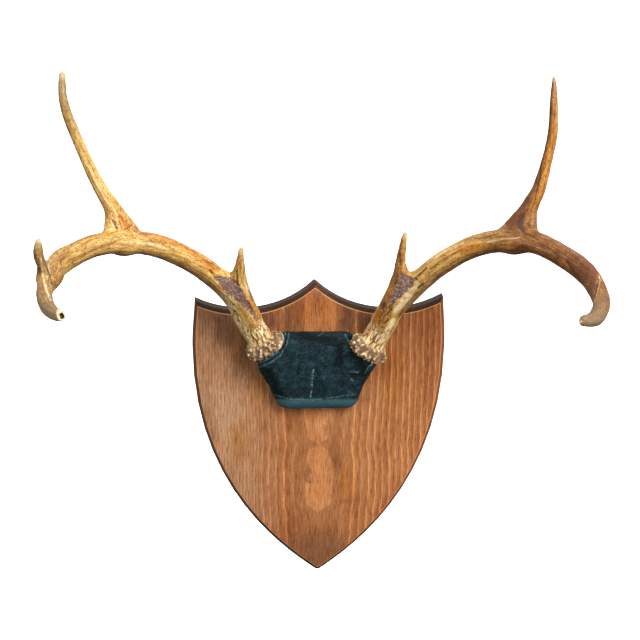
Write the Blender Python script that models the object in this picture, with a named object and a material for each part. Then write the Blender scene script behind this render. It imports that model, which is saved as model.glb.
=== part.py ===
"""Antler mounting plaque: a pine shield, a velvet-covered skull cap and a pair of antlers.

Frame: +Z up, +X to the viewer's right, the shield's face towards -Y and its back on Y = 0.
The origin is on the shield's back, on its centre line, where it meets the wall.
Lengths are in metres, and antler stations are in millimetres.
"""
import math

import bmesh
import bpy
from mathutils import Matrix, Vector
from mathutils.geometry import interpolate_bezier, intersect_point_line

MM = 0.001
GAP = 0.0003                    # left between pieces that rest on each other
CUTTER_REACH = 0.002            # how far a cutter starts outside what it cuts

# Shield, a 3/4 inch board cut to 10 by 12 inches
SHIELD_WIDTH = 0.2534
SHIELD_HEIGHT = 0.3064          # bottom tip to apex
SHIELD_THICKNESS = 0.019
ORIGIN_ABOVE_TIP = 0.151
WIDEST_BELOW_APEX = 0.0641
CORNER_BELOW_APEX = 0.0169
CORNER_INSET = 0.0026           # each top corner stands this far inside the widest point
CORNER_LEAN = 0.0036            # the right corner was cut this much higher than the left
APEX_OFFSET = -0.0045           # the apex was cut a little left of the centre line
LEFT_SCALLOP_DEPTH = 0.0191     # hollow of each half of the top edge
RIGHT_SCALLOP_DEPTH = 0.0213
FLANK_DROP = 0.155              # how far the side keeps near its full width
TIP_RISE_DEG = 36.0             # slope of the sides where they meet at the tip
TIP_REACH = 0.036
TIP_OFFSET = 0.0008             # the tip was cut a little right of the centre line
TIP_ROUND = 0.0045
CORNER_PULL = 0.4               # how soon a side turns down below its top corner
APEX_ROUND = 0.0022
EDGE_WIDTH = 0.0042             # shaped edge round the front face, between two crisp arrises
EDGE_TILTS_DEG = (60.5, 45.0, 29.5)     # of its three facets against the face, from the flank inwards
CURVE_STEPS = 14                # points along each long curve of the outline
CORNER_STEPS = 4                # and along a rounded corner

# Keyhole slot that the shield hangs by, routed into its back
KEYHOLE_BELOW_APEX = 0.0724     # centre of the entry hole
KEYHOLE_HEAD_DIAMETER = 0.0105
KEYHOLE_NECK_WIDTH = 0.0056
KEYHOLE_RISE = 0.014
KEYHOLE_DEPTH = 0.010
KEYHOLE_LIP = 0.0035

# Velvet-covered skull cap, a low eight-sided dome
CAP_OFFSET = -0.0040            # its centre line, left of the shield's
CAP_BELOW_APEX = 0.0494
CAP_HEIGHT = 0.0785
CAP_TOP_WIDTH = 0.068
CAP_WIDEST = 0.1175
CAP_WIDEST_BELOW_TOP = 0.0335
CAP_JAW_WIDTH = 0.0955          # where the sides turn down towards the chin
CAP_JAW_BELOW_TOP = 0.052
CAP_BOTTOM_WIDTH = 0.077
CAP_CHIN_SHIFT = 0.0022         # the chin sits this much further right than the brow
CAP_STANDOFF = 0.034            # how far the dome stands off the shield
CAP_CHIN_STANDOFF = 0.0215      # and its lower end
CAP_CORNER_ROUND = 0.009
CAP_CHIN_ROUND = 0.015
CAP_SHOULDER = 0.016            # width of the rounded rim of the dome
CAP_CROWN = 0.0015              # rise of the crown inside its rim
CAP_MIDDLE = 0.46               # the crown's middle, as a share of the cap's height from its top
CAP_BROW_SHARE = 1.6            # the higher, the longer the dome keeps its full depth down from the brow
CAP_SHOULDER_MOST = 0.75        # the rounded rim takes at most this share of the dome's depth

# Pedicles, the stubs under the velvet that carry the antlers
PEDICLE_SPREAD = 0.1028         # between the centres of the two burrs
PEDICLE_BELOW_CAP_TOP = 0.0095
PEDICLE_LEAN = 0.0034           # the left burr sits this much higher than the right one
PEDICLE_STANDOFF = 0.025        # centre of the burr to the shield's face
PEDICLE_SPLAY_DEG = 28.6        # outwards from upright
PEDICLE_FORWARD_DEG = 10.7
PEDICLE_DIAMETER = 0.031
PEDICLE_LENGTH = 0.034
PEDICLE_FOOT_DIAMETER = 0.033
PEDICLE_SINK = 0.011            # how far its foot bends back towards the shield
PEDICLE_SIDES = 28
SEAT_CLEARANCE = 1.15           # the velvet is cleared round the burr out to this share of its radius
SEAT_FLARE = 1.3

# Burr, the crown of knobs at the foot of an antler
BURR_DIAMETER = 0.0405
BURR_HEIGHT = 0.0130
BURR_KNOBS = 13
BURR_WAIST = 0.94               # mean radius of the knobs, as a share of the burr's
BURR_KNOB_DEPTH = 0.045
BURR_UNEVENNESS = 0.03
BURR_LOBES = 5

# Antlers. Stations are (out, forward, up, half thickness, half height) in mm from the burr,
# on an antler of true size
ANTLER_SIZE = 1.0
LEFT_BEAM = (
    (0, 0, 0, 12.2, 12.2), (14, 5, 24, 12.0, 12.0), (26, 14, 49, 12.0, 12.0), (44, 29, 72, 11.6, 11.6),
    (69, 51, 96, 11.0, 11.0), (98, 75, 115, 11.0, 11.0), (126, 99, 125, 10.6, 10.6),
    (153, 124, 127, 9.6, 10.3), (173, 145, 122, 8.2, 11.0), (186, 166, 116, 7.0, 13.2),
    (193, 192, 104, 7.2, 10.6), (190, 216, 96, 6.8, 7.8), (182, 237, 93, 5.6, 6.0), (174, 253, 94, 4.5, 4.6))
LEFT_BROW = (
    (13, 14, 30, 6.0, 5.5), (18.5, 21, 48, 7.6, 7.6), (22.5, 28, 64, 8.0, 6.6), (24.5, 34, 79, 7.0, 5.5),
    (24, 38, 90, 4.6, 4.3), (23, 44, 106, 2.3, 2.4))
LEFT_SECOND = (
    (130, 102, 124, 28.0, 6.0), (132, 101.5, 134, 22.5, 7.5), (135, 101, 143.5, 15.0, 8.3),
    (138.5, 102, 153.5, 9.8, 8.1), (143, 103.5, 163, 7.6, 7.3), (148.5, 105, 172, 6.5, 6.6),
    (157.5, 107, 191, 5.6, 5.8), (168.5, 110, 218, 4.9, 5.1), (178.5, 112, 246, 4.7, 4.7),
    (181.5, 111, 263, 4.1, 4.1), (181.5, 107, 276.5, 3.3, 3.3))
LEFT_THIRD = (
    (189, 176, 110, 11.0, 4.0), (193, 184, 118, 9.5, 3.2), (195, 192, 124, 6.6, 3.4),
    (197, 199, 133, 5.0, 4.6), (197, 203, 142, 4.2, 4.0), (196.5, 205, 147, 3.0, 2.8))
RIGHT_BEAM = (
    (0, 0, 0, 12.1, 12.1), (12, 5, 22, 12.0, 12.0), (21, 13, 43, 12.0, 12.0), (33, 24, 60, 11.6, 11.6),
    (46, 38, 77, 11.0, 11.0), (62, 55, 96.5, 10.8, 10.8), (89, 78, 118.5, 10.6, 10.6),
    (115, 101, 129.5, 10.6, 10.6), (141, 124, 132, 9.9, 10.3), (163, 148, 124, 8.8, 10.4),
    (177, 173, 116, 8.0, 11.4), (183, 197, 107, 7.8, 11.2), (183, 220, 98, 7.6, 9.0),
    (174, 238, 90.5, 6.9, 7.0), (163, 248, 91, 5.0, 5.2))
RIGHT_BROW = (
    (14, 15, 31, 6.0, 5.5), (19, 22.5, 50, 8.0, 7.8), (24, 28.5, 69, 8.6, 6.9), (26.5, 34.5, 84, 7.2, 5.6),
    (26.5, 38, 96, 4.8, 4.6), (28, 45, 118, 2.9, 2.9), (29, 47, 125, 1.9, 1.9))
RIGHT_SECOND = (
    (124, 108, 130, 29.0, 6.0), (127, 107.5, 139, 23.0, 7.5), (131, 106, 148, 15.5, 8.3),
    (135.5, 105.5, 158, 9.8, 7.9), (139.5, 106, 168, 7.6, 7.1), (144, 108, 178, 6.6, 6.5),
    (149.5, 111, 203, 5.3, 5.5), (153.5, 114, 231, 4.7, 4.9), (153.5, 114, 258, 3.8, 3.9),
    (153.5, 111, 274, 2.7, 2.8), (153.5, 110, 280, 1.7, 1.7))
BEAM_SIDES = 14
TINE_SIDES = 10
BEAM_STEP = 8.0                 # mm between the rings of a beam
TINE_STEP = 7.0
ROOT_FLARE = 0.036              # length over which a tine turns out of its beam
BROW_FLARE = 0.012
BLUNT_STEPS = (35, 65)          # degrees of the rings that round off a tine's tip
PITH_DIAMETER = 0.0048          # hollow in the left beam's broken tip
PITH_DEPTH = 0.010
PITH_TAPER = 0.4                # its inner end, as a share of its mouth

APEX_HEIGHT = SHIELD_HEIGHT - ORIGIN_ABOVE_TIP
FACE = -SHIELD_THICKNESS        # y of the shield's front face
CAP_BACK = FACE - GAP
LEFT = -1
RIGHT = 1


def clear_scene():
    for scene_object in list(bpy.data.objects):
        bpy.data.objects.remove(scene_object, do_unlink=True)


def new_collection(name):
    collection = bpy.data.collections.new(name)
    bpy.context.scene.collection.children.link(collection)
    return collection


def new_material(name, colour, roughness):
    material = bpy.data.materials.new(name)
    material.use_nodes = True
    shader = material.node_tree.nodes["Principled BSDF"]
    shader.inputs["Base Color"].default_value = (*colour, 1.0)
    shader.inputs["Roughness"].default_value = roughness
    shader.inputs["Metallic"].default_value = 0.0
    material.diffuse_color = (*colour, 1.0)
    return material


def new_object(name, mesh, collection):
    scene_object = bpy.data.objects.new(name, mesh)
    collection.objects.link(scene_object)
    return scene_object


def mesh_from(builder):
    """A mesh from a bmesh, with its faces turned outwards."""
    bmesh.ops.recalc_face_normals(builder, faces=builder.faces)
    mesh = bpy.data.meshes.new("shape")
    builder.to_mesh(mesh)
    builder.free()
    return mesh


def combine(target, tool, operation):
    """Joins the tool to the target, or cuts it away, and removes the tool."""
    modifier = target.modifiers.new(operation.lower(), "BOOLEAN")
    modifier.object = tool
    modifier.operation = operation
    modifier.solver = "EXACT"
    view = bpy.context.evaluated_depsgraph_get()
    mesh = bpy.data.meshes.new_from_object(target.evaluated_get(view))
    target.modifiers.clear()
    target.data = mesh
    bpy.data.objects.remove(tool, do_unlink=True)


def smooth_shade(scene_object, degrees):
    scene_object.data.shade_smooth()
    scene_object.data.set_sharp_from_angle(angle=math.radians(degrees))


# Shield

def rounded_corner(corner, towards_last, towards_next, radius):
    """Two curve points that replace a sharp corner by an arc, each as (point, handle in, handle out)."""
    last = (towards_last - corner).normalized()
    following = (towards_next - corner).normalized()
    half_angle = last.angle(following) / 2
    trim = radius / math.tan(half_angle)
    handle = 4 / 3 * math.tan((math.pi - 2 * half_angle) / 4) * radius
    start = corner + last * trim
    end = corner + following * trim
    return start, start - last * handle, end, end - following * handle


def scallop_handles(start, end, depth):
    """Handles of one curve segment that hangs below its chord as an arc of the given depth."""
    chord = end - start
    half_turn = 2 * math.atan(2 * depth / chord.length)
    radius = chord.length / 2 / math.sin(half_turn)
    handle = 4 / 3 * math.tan(half_turn / 2) * radius
    along = chord.normalized()
    below = Vector((along.y, -along.x)) if along.x > 0 else Vector((-along.y, along.x))
    out_direction = along * math.cos(half_turn) + below * math.sin(half_turn)
    in_direction = -along * math.cos(half_turn) + below * math.sin(half_turn)
    return start + out_direction * handle, end + in_direction * handle


def shield_outline():
    """Curve points of the shield in its own plane, clockwise from the apex."""
    apex = Vector((APEX_OFFSET, APEX_HEIGHT))
    tip = Vector((TIP_OFFSET, -ORIGIN_ABOVE_TIP))
    widest_height = APEX_HEIGHT - WIDEST_BELOW_APEX
    corner_height = APEX_HEIGHT - CORNER_BELOW_APEX
    half = SHIELD_WIDTH / 2
    right_corner = Vector((half - CORNER_INSET, corner_height + CORNER_LEAN / 2))
    left_corner = Vector((-half + CORNER_INSET, corner_height - CORNER_LEAN / 2))
    right_widest = Vector((half, widest_height))
    left_widest = Vector((-half, widest_height))
    rise = math.radians(TIP_RISE_DEG)
    tip_right = tip + Vector((math.cos(rise), math.sin(rise))) * TIP_REACH
    tip_left = tip + Vector((-math.cos(rise), math.sin(rise))) * TIP_REACH
    shoulder = (right_corner.y - right_widest.y) / 3
    apex_right, right_corner_in = scallop_handles(apex, right_corner, RIGHT_SCALLOP_DEPTH)
    left_corner_out, apex_left = scallop_handles(left_corner, apex, LEFT_SCALLOP_DEPTH)
    apex_points = rounded_corner(apex, apex_left, apex_right, APEX_ROUND)
    apex_in, apex_in_handle, apex_out, apex_out_handle = apex_points
    tip_in, tip_in_handle, tip_out, tip_out_handle = rounded_corner(tip, tip_right, tip_left, TIP_ROUND)
    down = Vector((0.0, -1.0))
    return (
        (apex_out, apex_out_handle, apex_right),
        (right_corner, right_corner_in, right_corner.lerp(right_widest, CORNER_PULL)),
        (right_widest, right_widest - down * shoulder, right_widest + down * FLANK_DROP),
        (tip_in, tip_right, tip_in_handle),
        (tip_out, tip_out_handle, tip_left),
        (left_widest, left_widest + down * FLANK_DROP, left_widest - down * shoulder),
        (left_corner, left_corner.lerp(left_widest, CORNER_PULL), left_corner_out),
        (apex_in, apex_left, apex_in_handle),
    )


def outline_places():
    """Points along the shield's outline."""
    points = shield_outline()
    places = []
    for (start, _, handle_out), (end, handle_in, _) in zip(points, (*points[1:], points[0])):
        steps = CORNER_STEPS if (end - start).length < 3 * TIP_ROUND else CURVE_STEPS
        places += interpolate_bezier(start, handle_out, handle_in, end, steps + 1)[:-1]
    return [Vector(place[:2]) for place in places]


def gap_to(place, outline):
    """Distance from a place to a closed outline."""
    gaps = []
    for start, end in zip(outline, (*outline[1:], outline[0])):
        share = intersect_point_line(place, start, end)[1]
        gaps.append((place - start.lerp(end, min(max(share, 0.0), 1.0))).length)
    return min(gaps)


def crossing(first, second, third, fourth):
    """Where the line through the first two places meets the line through the others."""
    way = second - first
    other = fourth - third
    share = (third - first).cross(other) / way.cross(other)
    return first + way * share


def inset(outline, distance):
    """The clockwise outline moved inwards. Round a corner too tight for that, its points meet in one place."""
    count = len(outline)
    inner = []
    for index, place in enumerate(outline):
        before = (place - outline[index - 1]).normalized()
        after = (outline[(index + 1) % count] - place).normalized()
        across_before = Vector((before.y, -before.x))
        across_after = Vector((after.y, -after.x))
        inwards = (across_before + across_after) / (1 + across_before.dot(across_after))
        inner.append(place + inwards * distance)
    kept = [gap_to(place, outline) > distance * 0.99 for place in inner]
    kept = [kept[index] and (kept[index - 1] or kept[(index + 1) % count]) for index in range(count)]
    for index in range(count):
        if kept[index]:
            continue
        last = next(index - step for step in range(1, count) if kept[index - step])
        following = next(index + step for step in range(1, count) if kept[(index + step) % count])
        inner[index] = crossing(inner[last - 1], inner[last],
                                inner[following % count], inner[(following + 1) % count])
    return inner


def shield_board(collection):
    """The plain board: the outline as a plate, its front edge shaped by three facets."""
    outline = outline_places()
    tilts = [math.radians(tilt) for tilt in EDGE_TILTS_DEG]
    facet = EDGE_WIDTH / sum(math.cos(tilt) for tilt in tilts)
    rings = [(0.0, 0.0), (0.0, FACE + facet * sum(math.sin(tilt) for tilt in tilts))]
    for tilt in tilts:
        distance, y = rings[-1]
        rings.append((distance + facet * math.cos(tilt), y - facet * math.sin(tilt)))
    builder = bmesh.new()
    rows = []
    for distance, y in rings:
        places = inset(outline, distance) if distance else outline
        rows.append([builder.verts.new((place.x, y, place.y)) for place in places])
    for row, following in zip(rows, rows[1:]):
        for corner in range(len(row)):
            builder.faces.new((row[corner - 1], row[corner], following[corner], following[corner - 1]))
    builder.faces.new(rows[0])
    builder.faces.new(rows[-1])
    bmesh.ops.remove_doubles(builder, verts=builder.verts, dist=0.00002)
    bmesh.ops.recalc_face_normals(builder, faces=builder.faces)
    bmesh.ops.triangulate(builder, faces=[face for face in builder.faces if len(face.verts) > 4])
    return new_object("shield_plaque", mesh_from(builder), collection)


def upright_cylinder(radius, back, depth, height, collection):
    """A cutter's round end: a cylinder along Y from the plane y = back inwards."""
    builder = bmesh.new()
    place = Matrix.Translation((0.0, back - depth / 2, height)) @ Matrix.Rotation(math.pi / 2, 4, "X")
    bmesh.ops.create_cone(builder, cap_ends=True, segments=24, radius1=radius, radius2=radius, depth=depth,
                          matrix=place)
    return new_object("keyhole cutter", mesh_from(builder), collection)


def upright_box(width, back, depth, low, high, collection):
    builder = bmesh.new()
    size = Matrix.Diagonal((width, depth, high - low, 1.0))
    place = Matrix.Translation((0.0, back - depth / 2, (low + high) / 2))
    bmesh.ops.create_cube(builder, size=1.0, matrix=place @ size)
    return new_object("keyhole cutter", mesh_from(builder), collection)


def make_shield(collection, cutters):
    """The board with its keyhole: a round entry, a narrow slot above it and a wider room behind the slot.

    Each shape that cuts the keyhole ends a little short of the last, so that no two faces coincide.
    """
    shield = shield_board(collection)
    entry = APEX_HEIGHT - KEYHOLE_BELOW_APEX
    top = entry + KEYHOLE_RISE
    head = KEYHOLE_HEAD_DIAMETER / 2
    neck = KEYHOLE_NECK_WIDTH / 2
    through = KEYHOLE_DEPTH + CUTTER_REACH
    hidden = KEYHOLE_DEPTH - KEYHOLE_LIP
    keyhole = upright_cylinder(head, CUTTER_REACH, through, entry, cutters)
    shapes = (
        upright_box(2 * neck, CUTTER_REACH, through - GAP, entry, top, cutters),
        upright_cylinder(neck, CUTTER_REACH, through - 2 * GAP, top, cutters),
        upright_box(2 * head - GAP, -KEYHOLE_LIP, hidden - 3 * GAP, entry, top, cutters),
        upright_cylinder(head - GAP / 2, -KEYHOLE_LIP, hidden - 3 * GAP, top, cutters),
    )
    for shape in shapes:
        combine(keyhole, shape, "UNION")
    combine(shield, keyhole, "DIFFERENCE")
    smooth_shade(shield, 12)
    shield.data.materials.clear()
    shield.data.materials.append(new_material("stained pine", (0.20, 0.085, 0.035), 0.45))
    return shield


# Antler seats, shared by the cap and the antlers

def seat_axis(side):
    splay = math.radians(PEDICLE_SPLAY_DEG)
    forward = math.radians(PEDICLE_FORWARD_DEG)
    level = math.cos(forward)
    return Vector((side * math.sin(splay) * level, -math.sin(forward), math.cos(splay) * level))


def burr_centre(side):
    height = APEX_HEIGHT - CAP_BELOW_APEX - PEDICLE_BELOW_CAP_TOP - side * PEDICLE_LEAN / 2
    return Vector((CAP_OFFSET + side * PEDICLE_SPREAD / 2, FACE - PEDICLE_STANDOFF, height))


def seat_centre(side):
    """Middle of the flat underside of a burr."""
    return burr_centre(side) - seat_axis(side) * BURR_HEIGHT / 2


def seat_frame(side):
    """Turns +Z to the seat's axis and moves the origin to the seat's centre."""
    turn = seat_axis(side).to_track_quat("Z", "Y").to_matrix().to_4x4()
    return Matrix.Translation(seat_centre(side)) @ turn


def loft(rings, name, collection):
    """A closed skin over rings that all have the same number of points, with a flat face at each end."""
    builder = bmesh.new()
    rows = [[builder.verts.new(point) for point in ring] for ring in rings]
    for lower, upper in zip(rows, rows[1:]):
        for index in range(len(lower)):
            following = (index + 1) % len(lower)
            builder.faces.new((lower[index], lower[following], upper[following], upper[index]))
    builder.faces.new(reversed(rows[0]))
    builder.faces.new(rows[-1])
    return new_object(name, mesh_from(builder), collection)


# Velvet-covered skull cap

def cap_outline():
    """The cap's eight sides with rounded corners, as points in the shield's plane."""
    top = APEX_HEIGHT - CAP_BELOW_APEX
    bottom = top - CAP_HEIGHT
    right = [
        (Vector((CAP_TOP_WIDTH / 2, top)), CAP_CORNER_ROUND),
        (Vector((CAP_WIDEST / 2, top - CAP_WIDEST_BELOW_TOP)), CAP_CORNER_ROUND),
        (Vector((CAP_JAW_WIDTH / 2, top - CAP_JAW_BELOW_TOP)), CAP_CORNER_ROUND),
        (Vector((CAP_BOTTOM_WIDTH / 2, bottom)), CAP_CHIN_ROUND)]
    corners = right + [(Vector((-corner.x, corner.y)), radius) for corner, radius in reversed(right)]
    arcs = []
    for index, (corner, radius) in enumerate(corners):
        last = corners[index - 1][0]
        following = corners[(index + 1) % len(corners)][0]
        arcs.append(rounded_corner(corner, last, following, radius))
    points = []
    for index, (start, start_handle, end, end_handle) in enumerate(arcs):
        next_start = arcs[(index + 1) % len(arcs)][0]
        points += interpolate_bezier(start, start_handle, end_handle, end, 5)
        points += [end.lerp(next_start, share) for share in (0.33, 0.67)]
    outline = []
    for point in points:
        lower = max(0.0, (top - CAP_WIDEST_BELOW_TOP - point[1]) / (CAP_HEIGHT - CAP_WIDEST_BELOW_TOP))
        outline.append(Vector((point[0] + CAP_OFFSET + CAP_CHIN_SHIFT * lower, point[1])))
    return outline


def cap_standoff(place):
    """How far the dome's crown stands off the shield at a place: deeper at the brow than at the chin."""
    top = APEX_HEIGHT - CAP_BELOW_APEX
    share = max(0.0, min(1.0, (top - place.y) / CAP_HEIGHT))
    slope = share ** CAP_BROW_SHARE
    return CAP_STANDOFF * (1 - slope) + CAP_CHIN_STANDOFF * slope


def crown_point(place, lift):
    """A point of the dome over a place: on the rim's plane at lift 0 and on the crown at lift 1."""
    crown = cap_standoff(place)
    rim = crown - min(CAP_SHOULDER, crown * CAP_SHOULDER_MOST)
    return Vector((place.x, FACE - rim - (crown - rim) * lift, place.y))


def make_cap(collection, cutters):
    """The dome: straight sides, a rounded rim, and a crown that rises a little to its middle."""
    outline = cap_outline()
    middle = Vector((CAP_OFFSET, APEX_HEIGHT - CAP_BELOW_APEX - CAP_HEIGHT * CAP_MIDDLE))
    rings = [[Vector((point.x, FACE / 2, point.y)) for point in outline]]
    for turn in range(0, 91, 18):
        angle = math.radians(turn)
        inset = CAP_SHOULDER * (1 - math.cos(angle))
        places = [point + (middle - point).normalized() * inset for point in outline]
        rings.append([crown_point(place, math.sin(angle)) for place in places])
    crown_lift = 1.0 + CAP_CROWN / CAP_SHOULDER
    for share in (0.55, 0.2):
        rings.append([crown_point(middle.lerp(place, share), crown_lift) for place in places])
    cap = loft(rings, "velvet_skull_cap", collection)
    for side in (LEFT, RIGHT):
        combine(cap, pedicle(side, cutters), "UNION")
        combine(cap, seat_cutter(side, cutters), "DIFFERENCE")
    combine(cap, board_cutter(cutters), "DIFFERENCE")
    smooth_shade(cap, 50)
    cap.data.materials.clear()
    cap.data.materials.append(new_material("green velvet", (0.006, 0.030, 0.032), 0.95))
    return cap


def board_cutter(cutters):
    """Trims the cap flat where it rests on the shield."""
    builder = bmesh.new()
    size = Matrix.Diagonal((CAP_WIDEST * 2, SHIELD_THICKNESS * 2, CAP_HEIGHT * 3, 1.0))
    height = APEX_HEIGHT - CAP_BELOW_APEX - CAP_HEIGHT / 2
    place = Matrix.Translation((CAP_OFFSET, CAP_BACK + SHIELD_THICKNESS, height))
    bmesh.ops.create_cube(builder, size=1.0, matrix=place @ size)
    return new_object("board cutter", mesh_from(builder), cutters)


def pedicle(side, cutters):
    """A stub that widens towards the skull, aimed along the antler."""
    frame = seat_frame(side)
    rings = []
    for share in (0.0, 0.25, 0.5, 0.75, 1.0):
        radius = (PEDICLE_DIAMETER * (1 - share) + PEDICLE_FOOT_DIAMETER * share) / 2
        down = -GAP - share * PEDICLE_LENGTH
        sink = Vector((0.0, PEDICLE_SINK * share * share, 0.0))
        turns = (2 * math.pi * index / PEDICLE_SIDES for index in range(PEDICLE_SIDES))
        rings.append([frame @ Vector((radius * math.cos(turn), radius * math.sin(turn), down)) + sink
                      for turn in turns])
    return loft(list(reversed(rings)), "pedicle", cutters)


def seat_cutter(side, cutters):
    """Clears the velvet away from the burr's underside and rim."""
    builder = bmesh.new()
    depth = BURR_DIAMETER
    place = seat_frame(side) @ Matrix.Translation((0.0, 0.0, depth / 2 - GAP))
    radius = BURR_DIAMETER / 2 * SEAT_CLEARANCE
    bmesh.ops.create_cone(builder, cap_ends=True, segments=28, radius1=radius, radius2=radius * SEAT_FLARE,
                          depth=depth, matrix=place)
    return new_object("seat cutter", mesh_from(builder), cutters)


# Antlers

def smooth_stations(stations, step):
    """Stations along a smooth curve through the given ones, about a step apart."""
    spots = [Vector(station[:3]) for station in stations]
    result = []
    for index in range(len(stations) - 1):
        before = stations[max(index - 1, 0)]
        start = stations[index]
        end = stations[index + 1]
        after = stations[min(index + 2, len(stations) - 1)]
        count = max(1, round((spots[index + 1] - spots[index]).length / step))
        for share in (number / count for number in range(count)):
            result.append([catmull_rom(*values, share) for values in zip(before, start, end, after)])
    result.append(list(stations[-1]))
    return result


def catmull_rom(before, start, end, after, share):
    squared = share * share
    cubed = squared * share
    return 0.5 * (2 * start + (end - before) * share + (2 * before - 5 * start + 4 * end - after) * squared
                  + (3 * start - before - 3 * end + after) * cubed)


def branch_place(side, station):
    """A station's place: out from the middle, forward from the shield and up, measured from the burr."""
    out, forward, up = (value * MM * ANTLER_SIZE for value in station[:3])
    return burr_centre(side) + Vector((side * out, -forward, up))


def branch(side, stations, sides, step, broken, name, cutters, along=None, flare=ROOT_FLARE):
    """A beam or tine: oval rings along a smooth curve. A broken one ends flat, another in a small dome.

    A tine's first rings lie along the beam that carries it, so that its root flares into it.
    """
    smooth = smooth_stations(stations, step)
    places = [branch_place(side, station) for station in smooth]
    rings = []
    for index, (place, station) in enumerate(zip(places, smooth)):
        direction = (places[min(index + 1, len(places) - 1)] - places[max(index - 1, 0)]).normalized()
        across = direction.cross(Vector((0.0, 0.0, 1.0))).normalized()
        if along is not None:
            level = along.cross(Vector((0.0, 0.0, 1.0))).normalized()
            hold = max(0.0, 1 - (place - places[0]).length / flare)
            across = (direction.cross(level).normalized() * (1 - hold) + along * hold).normalized()
            direction = (direction * (1 - hold) + level.cross(along) * hold).normalized()
        height_way = across.cross(direction).normalized()
        thick, high = (value * MM * ANTLER_SIZE for value in station[3:])
        rings.append(oval(place, across * thick, height_way * high, sides))
        last = (place, direction, across * thick, height_way * high)
    if not broken:
        place, direction, across, height_way = last
        reach = (across.length + height_way.length) / 2
        for turn in BLUNT_STEPS:
            shrink = math.cos(math.radians(turn))
            rise = direction * reach * math.sin(math.radians(turn))
            rings.append(oval(place + rise, across * shrink, height_way * shrink, sides))
    return loft(rings, name, cutters)


def oval(place, across, upwards, sides):
    turns = (2 * math.pi * index / sides for index in range(sides))
    return [place + across * math.cos(turn) + upwards * math.sin(turn) for turn in turns]


def burr(side, cutters):
    """The crown: a ring of rough knobs with a flat underside, turned on the seat's axis.

    The profile is (share of the radius, share of the height), from the underside's rim up and in.
    """
    frame = seat_frame(side)
    radius = BURR_DIAMETER / 2
    smooth_inside = 0.6
    profile = ((0.80, 0.0), (0.93, 0.10), (1.0, 0.34), (0.98, 0.62), (0.86, 0.86), (0.66, 1.0), (0.40, 1.0))
    steps = BURR_KNOBS * 3
    rings = []
    for reach, height in profile:
        ring = []
        for index in range(steps):
            turn = 2 * math.pi * index / steps
            knob = math.cos(BURR_KNOBS * turn) * BURR_KNOB_DEPTH
            knob += math.cos(BURR_LOBES * turn + side) * BURR_UNEVENNESS
            knob *= max(0.0, reach - smooth_inside) / (1 - smooth_inside) * min(1.0, height * 8)
            spread = radius * reach * (BURR_WAIST + knob)
            point = Vector((spread * math.cos(turn), spread * math.sin(turn), height * BURR_HEIGHT))
            ring.append(frame @ point)
        rings.append(ring)
    return loft(rings, "burr", cutters)


def beam_direction_near(side, beam, station):
    """The way that the beam runs where a tine grows from it."""
    root = branch_place(side, station)
    places = [branch_place(side, spot) for spot in smooth_stations(beam, BEAM_STEP)]
    nearest = min(range(1, len(places) - 1), key=lambda index: (places[index] - root).length)
    return (places[nearest + 1] - places[nearest - 1]).normalized()


def broken_tip_hollow(stations, side, cutters):
    """The pith hole in a beam's broken end, a cone along the beam's last stretch."""
    end = branch_place(side, stations[-1])
    direction = (end - branch_place(side, stations[-2])).normalized()
    mouth = PITH_DIAMETER / 2
    builder = bmesh.new()
    turn = direction.to_track_quat("Z", "Y").to_matrix().to_4x4()
    place = Matrix.Translation(end - direction * (PITH_DEPTH - CUTTER_REACH) / 2) @ turn
    bmesh.ops.create_cone(builder, cap_ends=True, segments=12, radius1=mouth * PITH_TAPER, radius2=mouth,
                          depth=PITH_DEPTH + CUTTER_REACH, matrix=place)
    return new_object("pith cutter", mesh_from(builder), cutters)


def make_antler(side, name, beam, tines, colour, broken, collection, cutters):
    antler = branch(side, beam, BEAM_SIDES, BEAM_STEP, broken, name, collection)
    combine(antler, burr(side, cutters), "UNION")
    for tine, flare in tines:
        along = beam_direction_near(side, beam, tine[0])
        tool = branch(side, tine, TINE_SIDES, TINE_STEP, False, "tine", cutters, along, flare)
        combine(antler, tool, "UNION")
    if broken:
        combine(antler, broken_tip_hollow(beam, side, cutters), "DIFFERENCE")
    smooth_shade(antler, 50)
    antler.data.materials.clear()
    antler.data.materials.append(new_material(name + " bone", colour, 0.35))
    return antler


def main():
    clear_scene()
    collection = new_collection("antler mounting plaque")
    cutters = new_collection("cutters")
    make_shield(collection, cutters)
    make_cap(collection, cutters)
    left_tines = ((LEFT_BROW, BROW_FLARE), (LEFT_SECOND, ROOT_FLARE), (LEFT_THIRD, ROOT_FLARE))
    right_tines = ((RIGHT_BROW, BROW_FLARE), (RIGHT_SECOND, ROOT_FLARE))
    golden = (0.52, 0.33, 0.12)
    tawny = (0.42, 0.25, 0.10)
    make_antler(LEFT, "antler_left", LEFT_BEAM, left_tines, golden, True, collection, cutters)
    make_antler(RIGHT, "antler_right", RIGHT_BEAM, right_tines, tawny, False, collection, cutters)


main()
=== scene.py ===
"""Looks of the antler mounting plaque: a stained pine shield, a velvet-covered skull cap and two antlers.

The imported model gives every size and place. Each piece here stands for one of its nodes and keeps its form:
the board gets crisp edges and growth rings, the velvet its folds and pile, the antlers their pearls, grooves,
hollows and worn tips. Lengths are in metres unless a name says mm, and places on the photo are in pixels of
its 640 by 640 frame.
"""
import math
from typing import NamedTuple

import bpy
import numpy as np
from bpy.props import FloatProperty, FloatVectorProperty, PointerProperty
from mathutils import Matrix, Vector, noise
from mathutils.bvhtree import BVHTree
from mathutils.kdtree import KDTree


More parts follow.
